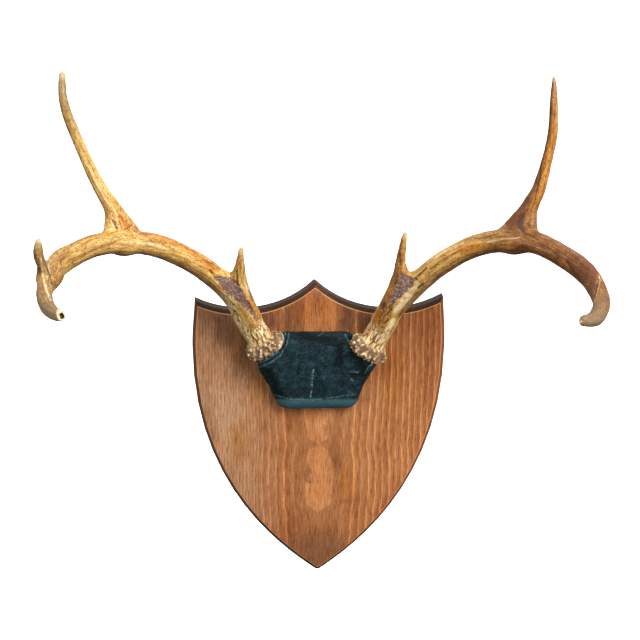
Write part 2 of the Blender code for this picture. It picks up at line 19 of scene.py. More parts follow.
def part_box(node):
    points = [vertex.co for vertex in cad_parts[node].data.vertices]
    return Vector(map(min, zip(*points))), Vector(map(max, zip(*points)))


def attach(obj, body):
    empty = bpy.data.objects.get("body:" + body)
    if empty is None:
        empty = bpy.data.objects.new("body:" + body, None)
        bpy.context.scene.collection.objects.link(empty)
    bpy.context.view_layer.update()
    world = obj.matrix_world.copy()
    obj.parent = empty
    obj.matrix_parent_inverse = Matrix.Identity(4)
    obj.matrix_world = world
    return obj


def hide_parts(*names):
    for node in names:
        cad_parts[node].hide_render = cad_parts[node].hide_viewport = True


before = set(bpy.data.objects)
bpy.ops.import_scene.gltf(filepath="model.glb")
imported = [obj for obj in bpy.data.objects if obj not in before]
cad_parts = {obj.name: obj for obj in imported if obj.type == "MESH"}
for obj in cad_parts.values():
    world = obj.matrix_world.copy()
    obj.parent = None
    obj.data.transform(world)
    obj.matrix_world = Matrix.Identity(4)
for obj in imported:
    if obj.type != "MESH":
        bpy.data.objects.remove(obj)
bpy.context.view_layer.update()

bl_info = {
    "name": "Antler mounting plaque",
    "version": (1, 0, 0),
    "blender": (4, 5, 0),
    "location": "3D View > Sidebar > Antler Plaque",
    "description": "Dresses the packed antler mounting plaque with its wood, velvet and antler finishes",
    "category": "Object",
}

MM = 0.001
LEFT = -1
RIGHT = 1

BOARD = "shield_plaque"
CAP = "velvet_skull_cap"
ANTLERS = {LEFT: "antler_left", RIGHT: "antler_right"}

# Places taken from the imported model
BOARD_LOW, BOARD_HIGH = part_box(BOARD)
CAP_LOW, CAP_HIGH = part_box(CAP)
BOARD_FACE = BOARD_LOW.y
CAP_MIDDLE = (CAP_LOW.x + CAP_HIGH.x) / 2

# The burrs' centres, measured from the cap's top and the board's face
BURR_SPREAD = 0.1028
BURR_BELOW_CAP_TOP = 0.0095
BURR_LEAN = 0.0034              # the left one sits this much higher than the right one
BURR_STANDOFF = 0.025
BURR_HALF_HEIGHT = 0.0065

# Centre lines of the antlers' branches: (out, forward, up, radius) in mm from the burr
LEFT_BRANCHES = (
    ((0, 0, 0, 12.2), (14, 5, 24, 12), (26, 14, 49, 12), (44, 29, 72, 11.6), (69, 51, 96, 11),
     (98, 75, 115, 11), (126, 99, 125, 10.6), (153, 124, 127, 10), (173, 145, 122, 9.6),
     (186, 166, 116, 10), (193, 192, 104, 9), (190, 216, 96, 7.3), (182, 237, 93, 5.8), (174, 253, 94, 4.6)),
    ((13, 14, 30, 5.7), (22.5, 28, 64, 7.3), (24.5, 34, 79, 6.2), (23, 44, 106, 2.4)),
    ((130, 102, 124, 9), (135, 101, 143.5, 9), (143, 103.5, 163, 7.4), (157.5, 107, 191, 5.7),
     (168.5, 110, 218, 5), (178.5, 112, 246, 4.7), (181.5, 107, 276.5, 3.3)),
    ((189, 176, 110, 5), (195, 192, 124, 5), (197, 203, 142, 4.1), (196.5, 205, 147, 3)),
)
RIGHT_BRANCHES = (
    ((0, 0, 0, 12.1), (12, 5, 22, 12), (21, 13, 43, 12), (33, 24, 60, 11.6), (46, 38, 77, 11),
     (62, 55, 96.5, 10.8), (89, 78, 118.5, 10.6), (115, 101, 129.5, 10.6), (141, 124, 132, 10.1),
     (163, 148, 124, 9.6), (177, 173, 116, 9.7), (183, 197, 107, 9.5), (183, 220, 98, 8.3),
     (174, 238, 90.5, 7), (163, 248, 91, 5.1)),
    ((14, 15, 31, 5.7), (24, 28.5, 69, 7.8), (26.5, 34.5, 84, 6.4), (28, 45, 118, 2.9), (29, 47, 125, 1.9)),
    ((124, 108, 130, 9), (131, 106, 148, 9), (139.5, 106, 168, 7.3), (149.5, 111, 203, 5.4),
     (153.5, 114, 231, 4.8), (153.5, 114, 258, 3.8), (153.5, 110, 280, 1.7)),
)
BRANCHES = {LEFT: LEFT_BRANCHES, RIGHT: RIGHT_BRANCHES}
BEAM = 0                        # the beam is the first of an antler's branches

# How far up the beam the pearls stay thick, and where they end, in mm from the burr
PEARLED = {LEFT: (44, 95), RIGHT: (14, 54)}
PEARL_BORDER = 20               # mm by which that border wanders
PEARL_FREE = 200.0              # mm from the burr that count for the tines, which have no pearls

# How brown, amber and grey each branch is: rows of (mm from its root, share) for the beam, the brow tine and
# the other tines
TAWNY = {
    LEFT: (((0, 0.12), (90, 0.02), (170, 0.02), (215, 0.12), (255, 0.28), (300, 0.42), (360, 0.55),
            (400, 0.4)), ((0, 0.15), (60, 0.22), (85, 0.15)),
           ((0, 0.10), (90, 0.06), (130, 0.20), (165, 0.30)), ((0, 0.5),)),
    RIGHT: (((0, 0.0), (70, 0.0), (150, 0.0), (185, 0.22), (225, 0.78), (310, 1.0), (345, 0.95),
             (390, 0.80)), ((0, 0.25), (60, 0.35), (104, 0.2)),
            ((0, 0.85), (20, 0.80), (55, 0.20), (110, 0.25), (155, 0.60))),
}
AMBER = {
    LEFT: (((0, 0.05),), ((0, 0.1),), ((0, 0.05),), ((0, 0.05),)),
    RIGHT: (((0, 0.05), (90, 0.1), (150, 0.2), (200, 0.4), (400, 0.7)), ((0, 0.4),), ((0, 0.75),)),
}
GREY = {
    LEFT: (((329, 0.0), (350, 0.25), (375, 0.7), (387, 0.75)), ((0, 0.0),),
           ((95, 0.0), (130, 0.40), (165, 0.70)), ((0, 0.15), (45, 0.3))),
    RIGHT: (((345, 0.0), (362, 0.5), (381, 0.8)), ((0, 0.0),), ((95, 0.0), (155, 0.12))),
}

# Marks on the antlers where the photo shows them: routes of (x, y, half width) in its pixels
HOLLOWS = {
    LEFT: (((218, 279, 3.0), (226, 283, 6.5), (234, 290, 6.5), (243, 301, 4.4), (251, 311, 3.0),
            (258, 320, 1.2)),),
    RIGHT: (((415, 279, 1.8), (408, 281, 5.6), (401, 288, 6.2), (396, 296, 4.6), (391, 303, 2.2)),
            ((401, 273, 1.2), (402, 280, 3.0))),
}
DARK_MARKS = {
    LEFT: (((210, 270, 0.9), (212, 273, 1.1)), ((208, 262, 0.4), (214, 264, 0.5)),
           ((248, 301, 0.6), (253, 311, 0.9)), ((113, 221, 1.6), (117, 228, 1.2)),
           ((124, 230, 0.5), (132, 225, 0.5)), ((125, 222, 0.4), (131, 218, 0.4)),
           ((118, 216, 0.4), (121, 227, 0.4)), ((42, 243, 0.7), (42.5, 247, 0.7)),
           ((237, 270, 0.9), (237.5, 285, 1.1)), ((249, 290, 0.3), (253, 301, 0.5)),
           ((45, 262, 0.5), (50, 276, 1.0), (53, 290, 0.6)), ((74, 110, 0.5), (78, 125, 0.4)),
           ((68, 95, 0.4), (72, 110, 0.4))),
    RIGHT: (((418, 276, 0.9), (426, 268, 0.9)), ((430, 269, 0.6), (438, 265, 0.6)),
            ((400, 254, 0.8), (400, 265, 0.8)), ((384, 303, 0.8), (382, 309, 1.0)),
            ((379, 318, 0.7), (384, 311, 0.8)), ((387, 315, 1.0), (391, 309, 1.0)),
            ((384, 324, 0.9), (388, 320, 1.0)), ((389, 308, 1.0), (393, 303, 1.0)),
            ((418, 288, 1.3), (423, 284, 1.1)), ((474, 239, 0.7), (486, 236.5, 0.9), (497, 234, 0.5)),
            ((524, 232, 0.8), (538, 240, 0.7)), ((522, 216, 2.4), (520, 224, 3.4), (523, 231, 2.0)),
            ((552.5, 97.5, 0.7), (554, 98, 0.7)), ((599, 279, 0.8), (596, 291, 1.2), (593, 302, 0.8)),
            ((543, 150, 0.7), (538, 185, 0.8), (534, 205, 0.5)), ((551, 108, 0.6), (546, 140, 0.7)),
            ((401, 236, 0.4), (396, 262, 0.5), (390, 283, 0.5)), ((545, 246, 0.5), (556, 254, 0.6)),
            ((566, 262, 0.5), (574, 272, 0.6)), ((504, 232, 0.5), (520, 233, 0.6))),
}
# Painted highlights: cream glints along the crests of the beams, tines and bases, which also raise a low
# ridge
CREST_GLINTS = {
    LEFT: (((41, 258, 0.6), (42.5, 275, 0.9), (46, 289, 1.1), (50, 300, 0.8)),
           ((86, 163, 0.5), (98, 187, 0.7), (108, 203, 0.7), (117, 215, 0.5)),
           ((130, 242, 0.8), (147, 243, 1.6), (165, 248, 1.0)),
           ((236, 312, 0.3), (245, 330, 0.5), (251, 345, 0.5), (252, 355, 0.4)),
           ((245.5, 284, 0.6), (249, 299, 0.9)), ((39.5, 239, 0.6), (42, 245, 0.7)),
           ((48, 262, 0.3), (52, 290, 0.4))),
    RIGHT: (((599.5, 273, 0.3), (598.5, 285, 0.5), (596, 295, 0.5), (594, 303, 0.3)),
            ((434, 259, 0.5), (440, 254, 0.9), (446, 250, 0.6)),
            ((448, 249, 0.4), (455, 246, 0.5), (463, 243, 0.4)),
            ((487, 242.5, 0.4), (503, 239, 0.5), (520, 238, 0.3)),
            ((380, 343, 1.5), (386, 333, 3.0), (393, 321, 2.5)),
            ((395, 311, 2.5), (407, 297, 3.5), (418, 285, 2.0)), ((578, 317, 1.2), (581, 322, 1.2))),
}
BROKEN_RIM = ((60.5, 312.5, 4.2), (62.5, 318, 4.2))
BROKEN_BORE = ((61.5, 314.8, 1.5), (62.3, 317.0, 1.8))
BROKEN_DEPTH = 0.003
STAINS = {
    LEFT: (((128, 228, 2.0), (150, 234, 2.5), (180, 245, 2.5), (205, 260, 2.0), (216, 268, 3.0)),
           ((122, 222, 5.0), (128, 228, 4.0)), ((207, 262, 3.0), (213, 270, 3.0)),
           ((250, 303, 3.0), (258, 318, 3.5))),
    RIGHT: (((458, 252, 3.0), (468, 250, 4.0), (479, 247, 3.5)),
            ((368, 334, 4.0), (374, 322, 5.0), (380, 312, 4.0)),
            ((555, 118, 1.5), (551, 160, 2.0), (541, 200, 2.5)), ((600, 276, 1.6), (596, 300, 1.6)),
            ((396, 262, 1.5), (390, 285, 2.5), (382, 300, 3.0))),
}

# Folds of the velvet, with a painted sheen highlight along them, and dents darkened with painted shade:
# routes of (x, y, half width) in the photo's pixels
VELVET_CREASES = (
    ((285.5, 333, 0.4), (283.5, 343, 0.5), (276.5, 352.5, 0.5), (266, 360, 0.5), (254, 364, 0.5)),
    ((289, 333, 0.3), (287, 344, 0.4), (280, 356, 0.4), (270, 363, 0.4), (257, 368, 0.3)),
    ((283, 336, 0.2), (281, 345, 0.3), (273, 354, 0.3)),
    ((345, 334, 0.3), (349, 343, 0.4), (356, 352, 0.4), (366, 358.5, 0.4)),
    ((377, 362, 0.5), (369, 366, 0.5), (365, 373, 0.3)),
    ((350, 371.5, 0.5), (358, 372.5, 0.5)),
    ((324, 332, 0.2), (318, 336, 0.2)),
    ((351, 379, 0.5), (353, 381, 0.5)),
)
VELVET_SEAM = (((314, 368, 0.6), (313, 373, 0.8)), ((313, 376, 0.7), (312, 379, 0.5)),
               ((312, 382, 0.7), (312, 387, 0.8)), ((311.5, 390, 0.6), (310.5, 397, 0.8)))
VELVET_FOLD = ((274, 395, 0.7), (288, 399, 0.8), (312, 400, 0.8), (338, 397, 0.8), (357, 394, 0.7))
VELVET_TUFT = ((277, 404, 1.3), (284, 408, 1.3))
VELVET_RIM_ROWS = (397.5, 401.0)
# Dents are sunk into the velvet and darkened with painted shade
VELVET_SHADED_DENTS = (((340, 345, 1.5), (341, 356, 2.0), (338, 366, 1.2)),
                ((352, 352, 1.2), (360, 362, 1.2), (364, 372, 1.0)),
                ((268, 372, 1.0), (274, 385, 1.5), (280, 394, 1.0)),
                ((300, 336, 1.5), (318, 339, 1.5), (334, 341, 1.5)))

# Photo's camera
CAMERA_TARGET = Vector((-0.0011, -0.019, 0.0965))
TARGET_PIXEL = (318, 340)
PHOTO_SIDE = 640
FOCAL_PIXELS = 1800
SENSOR_MM = 36.0


# Colours, settings and nodes

def linear(hex_colour):
    """The linear values of an sRGB colour such as #c08040."""
    channels = (int(hex_colour[start:start + 2], 16) / 255 for start in (1, 3, 5))
    return tuple(value / 12.92 if value <= 0.04045 else ((value + 0.055) / 1.055) ** 2.4
                 for value in channels)


def colour_setting(name, hex_colour, description):
    return FloatVectorProperty(name=name, description=description, subtype="COLOR", size=3, min=0, max=1,
                               default=linear(hex_colour))


class AntlerPlaqueWood(bpy.types.PropertyGroup):
    earlywood: colour_setting("Earlywood", "#9c6c45", "Soft wood that drinks the stain and turns brown")
    latewood: colour_setting("Latewood", "#d69a66", "Hard wood lines that stay light and orange")
    edge_stain: colour_setting("Edge stain", "#33200f", "Stain on end grain, which drinks most of it")
    # The two flank colours are painted light and shade: the left and lower sides are painted darker, the
    # right side, towards the key light, lighter
    shaded_side_stain: colour_setting("Flank stain", "#5a3f2c", "Stain on the edge's left and lower sides")
    lit_side_stain: colour_setting("Rubbed stain", "#7c4a28", "Stain on the edge's right side, rubbed thin")
    ring_width: FloatProperty(name="Ring width", description="Growth of the tree in one year", unit="LENGTH",
                              default=0.0058, min=0.001, max=0.02)
    pith_depth: FloatProperty(name="Pith depth", description="How far behind the face the rings' centre lies",
                              unit="LENGTH", default=0.040, min=0.005, max=0.2)


class AntlerPlaqueVelvet(bpy.types.PropertyGroup):
    pile: colour_setting("Pile", "#050d11", "Colour deep in the pile")
    pile_light: colour_setting("Pile light", "#3a5d65", "Colour where the pile leans over and shines")
    crease_depth: FloatProperty(name="Crease depth", description="Depth of the folds in the velvet",
                                unit="LENGTH", default=0.0008, min=0.0, max=0.004)
    cell: FloatProperty(name="Mesh step", unit="LENGTH",
                        description="Spacing of the velvet's mesh before its last subdivision",
                        default=0.0012, min=0.0009, max=0.004)


class AntlerPlaqueHorn(bpy.types.PropertyGroup):
    golden: colour_setting("Golden", "#ddb96c", "Varnished antler, where it is lightest and most yellow")
    amber: colour_setting("Amber", "#c27c22", "Varnished antler where an orange stain has soaked in")
    # Tawny is also the colour of the painted shade on undersides and tine sides
    tawny: colour_setting("Tawny", "#74451a", "Antler stained brown by bark and blood")
    # Cream is also the colour of the painted highlights along the crests
    cream: colour_setting("Cream", "#f8e4b8", "Rubbed tops of the pearls and the tips")
    gutter: colour_setting("Gutter", "#5e3d26", "Dirt and stain between the pearls")
    hollow: colour_setting("Hollow", "#6e4f43", "Rough purple-brown core where the skin is missing")
    weathered: colour_setting("Weathered", "#7a6748", "Grey-beige outer faces of the ends")
    pearl_height: FloatProperty(name="Pearl height", description="Height of the ridges over their gutters",
                                unit="LENGTH", default=0.0011, min=0.0, max=0.004)
    crotch_reach: FloatProperty(name="Crotch reach", unit="LENGTH",
                                description="How far apart two branches still flow together",
                                default=0.012, min=0.0, max=0.03)
    pearl_width: FloatProperty(name="Pearl width", description="Spacing of the ridges across the beam",
                               unit="LENGTH", default=0.0023, min=0.001, max=0.008)
    pearl_length: FloatProperty(name="Pearl length", description="Length of the ridges along the beam",
                                unit="LENGTH", default=0.0095, min=0.002, max=0.03)
    knob_size: FloatProperty(name="Knob size", description="Width of the burr's knobs", unit="LENGTH",
                             default=0.0034, min=0.002, max=0.015)
    knob_height: FloatProperty(name="Knob height", description="Height of the burr's knobs", unit="LENGTH",
                               default=0.0012, min=0.0, max=0.005)
    cell: FloatProperty(name="Mesh step", unit="LENGTH",
                        description="Spacing of the antler's mesh before its last subdivision",
                        default=0.0015, min=0.0012, max=0.004)


class AntlerPlaqueStudio(bpy.types.PropertyGroup):
    azimuth: FloatProperty(name="Azimuth", description="Camera's turn round the plaque", subtype="ANGLE",
                           default=math.radians(-3.0))
    elevation: FloatProperty(name="Elevation", description="Camera's height over the horizon",
                             subtype="ANGLE", default=math.radians(15.0))
    roll: FloatProperty(name="Roll", description="Camera's tilt", subtype="ANGLE", default=math.radians(-0.6))
    distance: FloatProperty(name="Distance", description="Camera to the plaque's face", unit="LENGTH",
                            default=1.8, min=0.5, max=10.0)
    key_power: FloatProperty(name="Key light", description="Power of the main softbox", unit="POWER",
                             default=175.0, min=0.0, max=500.0)
    side_power: FloatProperty(name="Side light", description="Power of the softbox on the right",
                              unit="POWER", default=28.0, min=0.0, max=500.0)
    fill_power: FloatProperty(name="Fill light", description="Power of the fill softbox", unit="POWER",
                              default=30.0, min=0.0, max=500.0)
    ambient: FloatProperty(name="Ambient", description="Strength of the light from overhead", default=1.35,
                           min=0.0, max=3.0)
    floor_drop: FloatProperty(name="Floor drop", description="Floor below the plaque's lowest point",
                              unit="LENGTH", default=1.15, min=0.01, max=5.0)


class AntlerPlaqueSettings(bpy.types.PropertyGroup):
    wood: PointerProperty(type=AntlerPlaqueWood)
    velvet: PointerProperty(type=AntlerPlaqueVelvet)
    horn: PointerProperty(type=AntlerPlaqueHorn)
    studio: PointerProperty(type=AntlerPlaqueStudio)


def settings():
    return bpy.context.scene.antler_plaque


def add(tree, kind, inputs=None, stops=None, blend="LINEAR", **choices):
    """Adds a shader node. Inputs are values, sockets or nodes, of which the first output is meant, colours
    have three values, and stops are the places and values of a colour ramp."""
    node = tree.nodes.new("ShaderNode" + kind)
    for name, value in choices.items():
        setattr(node, name, value)
    for name, value in (inputs or {}).items():
        socket = node.inputs[name]
        if isinstance(value, bpy.types.Node):
            value = next(output for output in value.outputs if output.enabled)
        if isinstance(value, bpy.types.NodeSocket):
            tree.links.new(value, socket)
        else:
            socket.default_value = (*value, 1) if socket.type == "RGBA" else value
    if stops:
        ramp = node.color_ramp
        ramp.interpolation = blend
        while len(ramp.elements) < len(stops):
            ramp.elements.new(0.5)
        for element, (position, value) in zip(ramp.elements, stops):
            element.position = position
            element.color = (value, value, value, 1) if isinstance(value, (int, float)) else (*value, 1)
    return node


def stretched_noise(tree, place, size, detail, roughness=0.5):
    """A noise pattern whose features have the given size along each axis."""
    scaled = add(tree, "Mapping", {"Vector": place, "Scale": [1 / length for length in size]})
    return add(tree, "TexNoise", {"Vector": scaled, "Scale": 1.0, "Detail": detail, "Roughness": roughness})


def new_material(name):
    """A material with its shader, whose inputs are set afterwards."""
    material = bpy.data.materials.new(name)
    material.use_nodes = True
    tree = material.node_tree
    tree.nodes.clear()
    return material, tree


# Meshes

def merged_copy(node, name):
    """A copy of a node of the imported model, its loose triangles merged, selected alone and active."""
    bpy.ops.object.select_all(action="DESELECT")
    piece = bpy.data.objects.new(name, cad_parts[node].data.copy())
    bpy.context.scene.collection.objects.link(piece)
    piece.data.materials.clear()
    bpy.context.view_layer.objects.active = piece
    piece.select_set(True)
    bpy.ops.mesh.customdata_custom_splitnormals_clear()
    bpy.ops.object.mode_set(mode="EDIT")
    bpy.ops.mesh.select_all(action="SELECT")
    bpy.ops.mesh.remove_doubles(threshold=0.00002)
    bpy.ops.object.mode_set(mode="OBJECT")
    return piece


def finish_with(piece, kind, **choices):
    """Adds a modifier and applies it."""
    modifier = piece.modifiers.new(kind.lower(), kind)
    for name, value in choices.items():
        setattr(modifier, name, value)
    bpy.ops.object.modifier_apply(modifier=modifier.name)


def read_points(piece):
    points = np.empty(len(piece.data.vertices) * 3)
    piece.data.vertices.foreach_get("co", points)
    return points.reshape(-1, 3)


def read_normals(piece):
    normals = np.empty(len(piece.data.vertices) * 3)
    piece.data.vertices.foreach_get("normal", normals)
    return normals.reshape(-1, 3)


def read_edges(piece):
    edges = np.empty(len(piece.data.edges) * 2, int)
    piece.data.edges.foreach_get("vertices", edges)
    return edges.reshape(-1, 2)


def write_points(piece, points):
    piece.data.vertices.foreach_set("co", points.ravel())
    piece.data.update()


def write_mask(piece, name, values):
    attribute = piece.data.attributes.new(name, "FLOAT", "POINT")
    attribute.data.foreach_set("value", np.clip(values, 0, 1))


def write_places(piece, name, values):
    attribute = piece.data.attributes.new(name, "FLOAT_VECTOR", "POINT")
    attribute.data.foreach_set("vector", values.ravel())


def neighbour_pull(points, edges, counts):
    """From each point to the middle of its neighbours."""
    total = np.zeros_like(points)
    np.add.at(total, edges[:, 0], points[edges[:, 1]])
    np.add.at(total, edges[:, 1], points[edges[:, 0]])
    return total / counts - points


def relax(piece, rounds):
    """Evens out the voxels' steps without shrinking the form: each pull in is followed by a push out."""
    edges = read_edges(piece)
    points = read_points(piece)
    counts = np.bincount(edges.ravel(), minlength=len(points))[:, None]
    for _ in range(rounds):
        for strength in (0.55, -0.565):
            points = points + neighbour_pull(points, edges, counts) * strength
    write_points(piece, points)


def regrow(piece, node, rounds):
    """Brings a surface that smoothing has thinned back out to its node's, by amounts that change slowly."""
    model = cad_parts[node].data
    corners = [vertex.co for vertex in model.vertices]
    tree = BVHTree.FromPolygons(corners, [list(face.vertices) for face in model.polygons])
    edges = read_edges(piece)
    points = read_points(piece)
    normals = read_normals(piece)
    counts = np.bincount(edges.ravel(), minlength=len(points))[:, None]
    nearest = np.array([tree.find_nearest(point)[0] for point in points.tolist()])
    gap = ((nearest - points) * normals).sum(1, keepdims=True)
    for _ in range(rounds):
        gap = gap + neighbour_pull(gap, edges, counts)
    write_points(piece, points + normals * gap)


def smoothstep(low, high, values):
    share = np.clip((values - low) / (high - low), 0, 1)
    return share * share * (3 - 2 * share)


def noise_at(places, size, seed):
    """Smooth noise, about -1 to 1, whose features have the given size along each axis."""
    scaled = places / np.array(size) + seed
    return np.array([noise.noise(place) for place in scaled.tolist()])


# Photo's view, for what is placed by a pixel

def camera_turn():
    """The camera's axes in the frame, and the way back from what it looks at."""
    studio = settings().studio
    flat = math.cos(studio.elevation)
    back = Vector((math.sin(studio.azimuth) * flat, -math.cos(studio.azimuth) * flat,
                   math.sin(studio.elevation)))
    right = Vector((0, 0, 1)).cross(back).normalized()
    turn = Matrix((right, back.cross(right), back)).transposed()
    half = PHOTO_SIDE / 2
    aim = Vector(((TARGET_PIXEL[0] - half) / FOCAL_PIXELS, (half - TARGET_PIXEL[1]) / FOCAL_PIXELS, -1))
    offset = Vector((0, 0, -1)).rotation_difference(aim.normalized()).to_matrix().transposed()
    return turn @ Matrix.Rotation(-studio.roll, 3, "Z") @ offset, back


def seen_at(points):
    """Where the photo's frame shows each point, in pixels."""
    turn, back = camera_turn()
    place = np.array(CAMERA_TARGET + back * settings().studio.distance)
    local = (points - place) @ np.array(turn)
    half = PHOTO_SIDE / 2
    across = half + FOCAL_PIXELS * local[:, 0] / -local[:, 2]
    down = half - FOCAL_PIXELS * local[:, 1] / -local[:, 2]
    return np.stack((across, down), 1)


def facing(points, normals):
    """1 where the surface faces the photo's camera, 0 where it turns away."""
    _, back = camera_turn()
    return smoothstep(0.0, 0.3, normals @ np.array(back))


def drawn(pixels, route, soft):
    """1 on a route of (x, y, half width) in pixels, fading out over soft pixels at its border."""
    gap = np.full(len(pixels), 1e9)
    for (x, y, width), (next_x, next_y, next_width) in zip(route, route[1:]):
        way = np.array((next_x - x, next_y - y))
        share = np.clip((pixels - (x, y)) @ way / (way @ way), 0, 1)
        spot = np.array((x, y)) + share[:, None] * way
        gap = np.minimum(gap, np.linalg.norm(pixels - spot, axis=1) - width - (next_width - width) * share)
    return 1 - smoothstep(-soft / 2, soft / 2, gap)


def drawn_all(pixels, routes, soft):
    result = np.zeros(len(pixels))
    for route in routes:
        result = np.maximum(result, drawn(pixels, route, soft))
    return result


# Board

# How the rings' depth behind the face changes up the board, from its tip to its top: near the face they close
# into an island, and above it they open into a V. The values are shares of RING_RISE.
RING_RISE = 0.0045
RING_SHARES = ((0.0, 1.0), (0.10, 0.92), (0.19, 0.73), (0.218, 0.66), (0.240, 0.32), (0.326, 0.18),
               (0.39, 0.24), (0.43, 0.50), (0.449, 0.72), (0.469, 0.49), (0.503, 0.31), (0.544, 0.02),
               (0.70, 0.0), (1.0, 0.0))
ISLAND_DEPTH = 0.0032           # rings' rise at the island's ends, inside which the wood is all late wood
RING_SWAY = 0.0060              # how far the rings wander sideways
RING_RIPPLE = 0.0010            # and how far in and out, in short waves
PITH_OFFSET = 0.0009            # the rings' centre lies this far right of the board's middle
NARROW_FROM = 0.060             # left of this the years get narrower towards the bark
NARROWING = 0.95
RING_LIGHTNESS = (0.1, 0.3, 0.9, 0.55, 0.85, 0.8, 0.65, 0.9, 0.6, 0.8, 0.9, 0.6, 0.9, 0.7, 0.9, 1.0)
EDGE_WIDTH = 0.0042
ARRIS_DEPTH = 0.0006            # this far behind the face the light arris, rubbed stain with a painted highlight, has turned dark

# Spots on the face: (x, y, half width, half height) in the photo's pixels, then the share of the colour. The
# amber spots and some dark ones are stain; the dark spots beside the burrs and left of the left antler are
# painted shadow.
SHADOW_AND_STAIN_PATCHES = ((268, 319, 8, 10, 0.55), (288, 318, 7, 14, 0.5), (347, 318, 7, 14, 0.7),
                (364, 319, 9, 12, 0.6), (226, 330, 12, 20, 0.5), (308, 475, 3.4, 11, 0.5),
                (337, 465, 5, 12, 0.3), (245, 345, 5, 22, 0.4), (318, 548, 34, 22, 0.4),
                (328, 428, 3.5, 9, 0.3), (205, 430, 9, 50, 0.25), (318, 300, 3, 16, 0.3))
AMBER_PATCHES = ((239, 443, 12, 22, 0.5), (348, 482, 10, 22, 0.5), (392, 375, 14, 40, 0.4),
                 (238, 345, 9, 26, 0.5), (258, 385, 9, 26, 0.45), (318, 314, 22, 16, 0.4))


def on_face(pixel):
    """The place on the board's face, as (x, z), that the photo shows at a pixel."""
    turn, back = camera_turn()
    place = CAMERA_TARGET + back * settings().studio.distance
    half = PHOTO_SIDE / 2
    ray = turn @ Vector(((pixel[0] - half) / FOCAL_PIXELS, (half - pixel[1]) / FOCAL_PIXELS, -1))
    hit = place + ray * ((BOARD_FACE - place.y) / ray.y)
    return hit.x, hit.z


def patches(tree, place, spots):
    """A mask that is 1 in each of some soft-edged oval spots on the face."""
    total = 0.0
    for across, down, half_width, half_height, share in spots:
        x, z = on_face((across, down))
        scale = (1 / (half_width * MM), 0, 1 / (half_height * MM))
        gap = add(tree, "VectorMath", {0: place, 1: (x, 0, z)}, operation="SUBTRACT")
        gap = add(tree, "VectorMath", {0: gap, 1: scale}, operation="MULTIPLY")
        gap = add(tree, "VectorMath", {0: gap}, operation="LENGTH").outputs["Value"]
        spot = add(tree, "MapRange", {"Value": gap, "From Min": 1.25, "From Max": 0.6, "To Max": share},
                   interpolation_type="SMOOTHSTEP")
        total = add(tree, "Math", {0: spot, 1: total}, operation="MAXIMUM")
    return total


